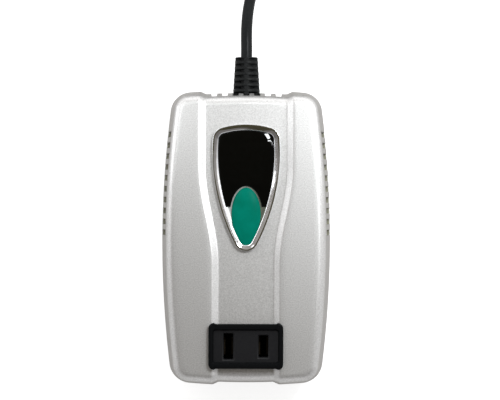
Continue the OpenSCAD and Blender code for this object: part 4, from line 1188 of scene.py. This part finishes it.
def plug_shell():
    """A flat two-pin plug body that swells from its cord neck to its pin face."""
    ys = np.concatenate([np.linspace(0, 1.5, 4), np.linspace(2.2, 31.6, 40), [32.2, 32.5, 32.8, 33.0]])
    y_at, *sizes_at = np.array(PLUG_LEVELS).T
    width, thick = (np.interp(ys, y_at, sizes) for sizes in sizes_at)
    for values in (width, thick):
        for _ in range(PLUG_SMOOTHING):
            values[3:-5] = (values[2:-6] + 2 * values[3:-5] + values[4:-4]) / 4
    rings = []
    for y, w, t in zip(ys, width, thick):
        section = sum(round_corners(w, t, PLUG_ROUND * t, 10), [])
        rings.append([(PLUG_X - x, PLUG_Y + y, PLUG_Z + z) for x, z in section])
    return piece("plug_shell", loft(rings), "soft_black", "plug_body", sharp=40)


def plug_grip(name, side):
    """A row of low ridges across one of the plug's broad faces, where fingers hold it."""
    rings = []
    for x, k in ((-4.6, 0.25), (-4.4, 0.7), (-4.0, 1.0), (4.0, 1.0), (4.4, 0.7), (4.6, 0.25)):
        arc = [(GRIP_HALF_W * y, GRIP_HALF_H * z) for y, _, z in across_y(k, 0, GRIP_STEPS)]
        rings.append([(x, y, z) for y, z in arc][::-1])
    bar = mesh_object("bar", loft(rings), "soft_black", GRIP_SHARP)
    row = repeated(name, ROW, bar, "soft_black", GRIP_SHARP, Count=GRIP_COUNT,
                   Start=(PLUG_X * MM, (PLUG_Y + GRIP_Y) * MM, (PLUG_Z + side * GRIP_RISE) * MM),
                   Step=(0, GRIP_PITCH * MM, 0), End_Scale=(GRIP_SPREAD, 1.0, 1.0))
    return dress(row, "soft_black")


STRAP = cord_strap()
PLUG = [plug_shell(), smooth_copy("plug_blades", "plug_pins", "nickel_brass"),
        smooth_copy("plug_sleeves", "pin_sleeves", "black_plastic"),
        plug_grip("plug_grip_top", 1), plug_grip("plug_grip_low", -1)]

# Pieces kept from the solids

KEPT = {
    "socket_back": "black_plastic", "contact_neutral": "brass", "contact_line": "brass",
    "core_e": "lamination", "core_i": "lamination", "core_frame": "zinc_steel", "bobbin": "nylon",
    "inner_winding": "magnet_wire", "outer_winding": "magnet_wire", "winding_tape": "yellow_tape",
    "thermal_fuse": "fuse_metal", "lead_in_live": "brown_pvc", "lead_in_neutral": "blue_pvc",
    "lead_fuse": "red_pvc", "lead_out_neutral": "white_pvc", "lead_out_line": "black_pvc",
}
for node_name, slot_name in KEPT.items():
    solid = nodes[node_name]
    if not solid.material_slots:
        solid.data.materials.append(FINISHES[slot_name])
    for place in solid.material_slots:
        place.material = FINISHES[slot_name]

# Table and light

TABLE_HALF, PAPER_TONE, PAPER_GLOW, GLOSSY_SHARE = 6.0, 0.55, 0.72, 0.52
ROOM_LEVEL, ROOM_SIDES = 1.38, -0.25
LAMP_TINT, LAMP_AIM = (0.95, 0.98, 1.0), Vector((0, 0, 0.05))


def table_top():
    """A white sweep under the object: it shows as white, and still takes the object's shadow."""
    mesh = bpy.data.meshes.new("table_top")
    mesh.from_pydata([(TABLE_HALF * x, TABLE_HALF * y, 0) for x, y in ((-1, -1), (1, -1), (1, 1), (-1, 1))],
                     [], [(0, 1, 2, 3)])
    made = bpy.data.materials.new("white_sweep")
    made.use_nodes = True
    tree = made.node_tree
    tree.nodes.clear()
    paper = node(tree, "ShaderNodeBsdfDiffuse", Color=grey(PAPER_TONE)).outputs["BSDF"]
    glow = node(tree, "ShaderNodeEmission", Color=grey(1.0), Strength=PAPER_GLOW)
    both = node(tree, "ShaderNodeAddShader", paper, glow.outputs["Emission"])
    ways = node(tree, "ShaderNodeLightPath").outputs
    gloss = node(tree, "ShaderNodeMath", ways["Is Glossy Ray"], GLOSSY_SHARE, operation="MULTIPLY")
    seen = node(tree, "ShaderNodeMath", ways["Is Camera Ray"], gloss.outputs["Value"], operation="MAXIMUM")
    pick = node(tree, "ShaderNodeMixShader", seen.outputs["Value"], paper, both.outputs["Shader"])
    node(tree, "ShaderNodeOutputMaterial", pick.outputs["Shader"])
    mesh.materials.append(made)
    put("table_top", mesh)


def room_light():
    """A pale room: brighter past the cord end, dimmer at the sides, a dim ceiling, dark overhead."""
    world = bpy.data.worlds.new("room")
    bpy.context.scene.world = world
    world.use_nodes = True
    tree = world.node_tree
    place = node(tree, "ShaderNodeTexCoord")
    split = node(tree, "ShaderNodeSeparateXYZ", place.outputs["Generated"]).outputs
    height = colour_ramp(
        tree, split["Z"], (0.0, grey(ROOM_LEVEL)), (0.60, grey(ROOM_LEVEL)),
        (0.74, (0.36, 0.333, 0.3096, 1)), (0.955, (0.28, 0.259, 0.2408, 1)),
        (0.978, (0.085, 0.075, 0.045, 1)))
    share = node(tree, "ShaderNodeMapRange", split["Y"], From_Min=-1.0)
    halves = colour_ramp(tree, share.outputs["Result"], (0.0, grey(0.62)), (0.43, grey(0.66)),
                         (0.57, grey(1.26)), (1.0, grey(1.40)))
    apart = node(tree, "ShaderNodeMath", split["X"], operation="ABSOLUTE")
    strength = node(tree, "ShaderNodeMath", apart.outputs["Value"], ROOM_SIDES, halves,
                    operation="MULTIPLY_ADD")
    back = tree.nodes["Background"].inputs
    feed(tree, back["Color"], height)
    feed(tree, back["Strength"], strength.outputs["Value"])


def lamp(name, place, size, power):
    """A round lamp that looks at the middle of the object."""
    light = bpy.data.lights.new(name, "AREA")
    light.shape, light.size, light.energy, light.color = "DISK", size, power, LAMP_TINT
    obj = put(name, light)
    obj.location = place
    obj.rotation_mode = "QUATERNION"
    obj.rotation_quaternion = (LAMP_AIM - Vector(place)).to_track_quat("-Z", "Y")


table_top()
room_light()
lamp("key", (0.119, 0.115, 0.312), 0.075, 0.570)
lamp("near_fill", (-0.055, 0.060, 0.131), 0.06, 0.023)
lamp("right_fill", (0.110, 0.085, 0.190), 0.06, 0.052)
lamp("left_fill", (-0.110, 0.050, 0.078), 0.05, 0.015)
lamp("right_low", (0.112, 0.055, 0.084), 0.05, 0.012)
bpy.context.scene.view_settings.view_transform = "Standard"
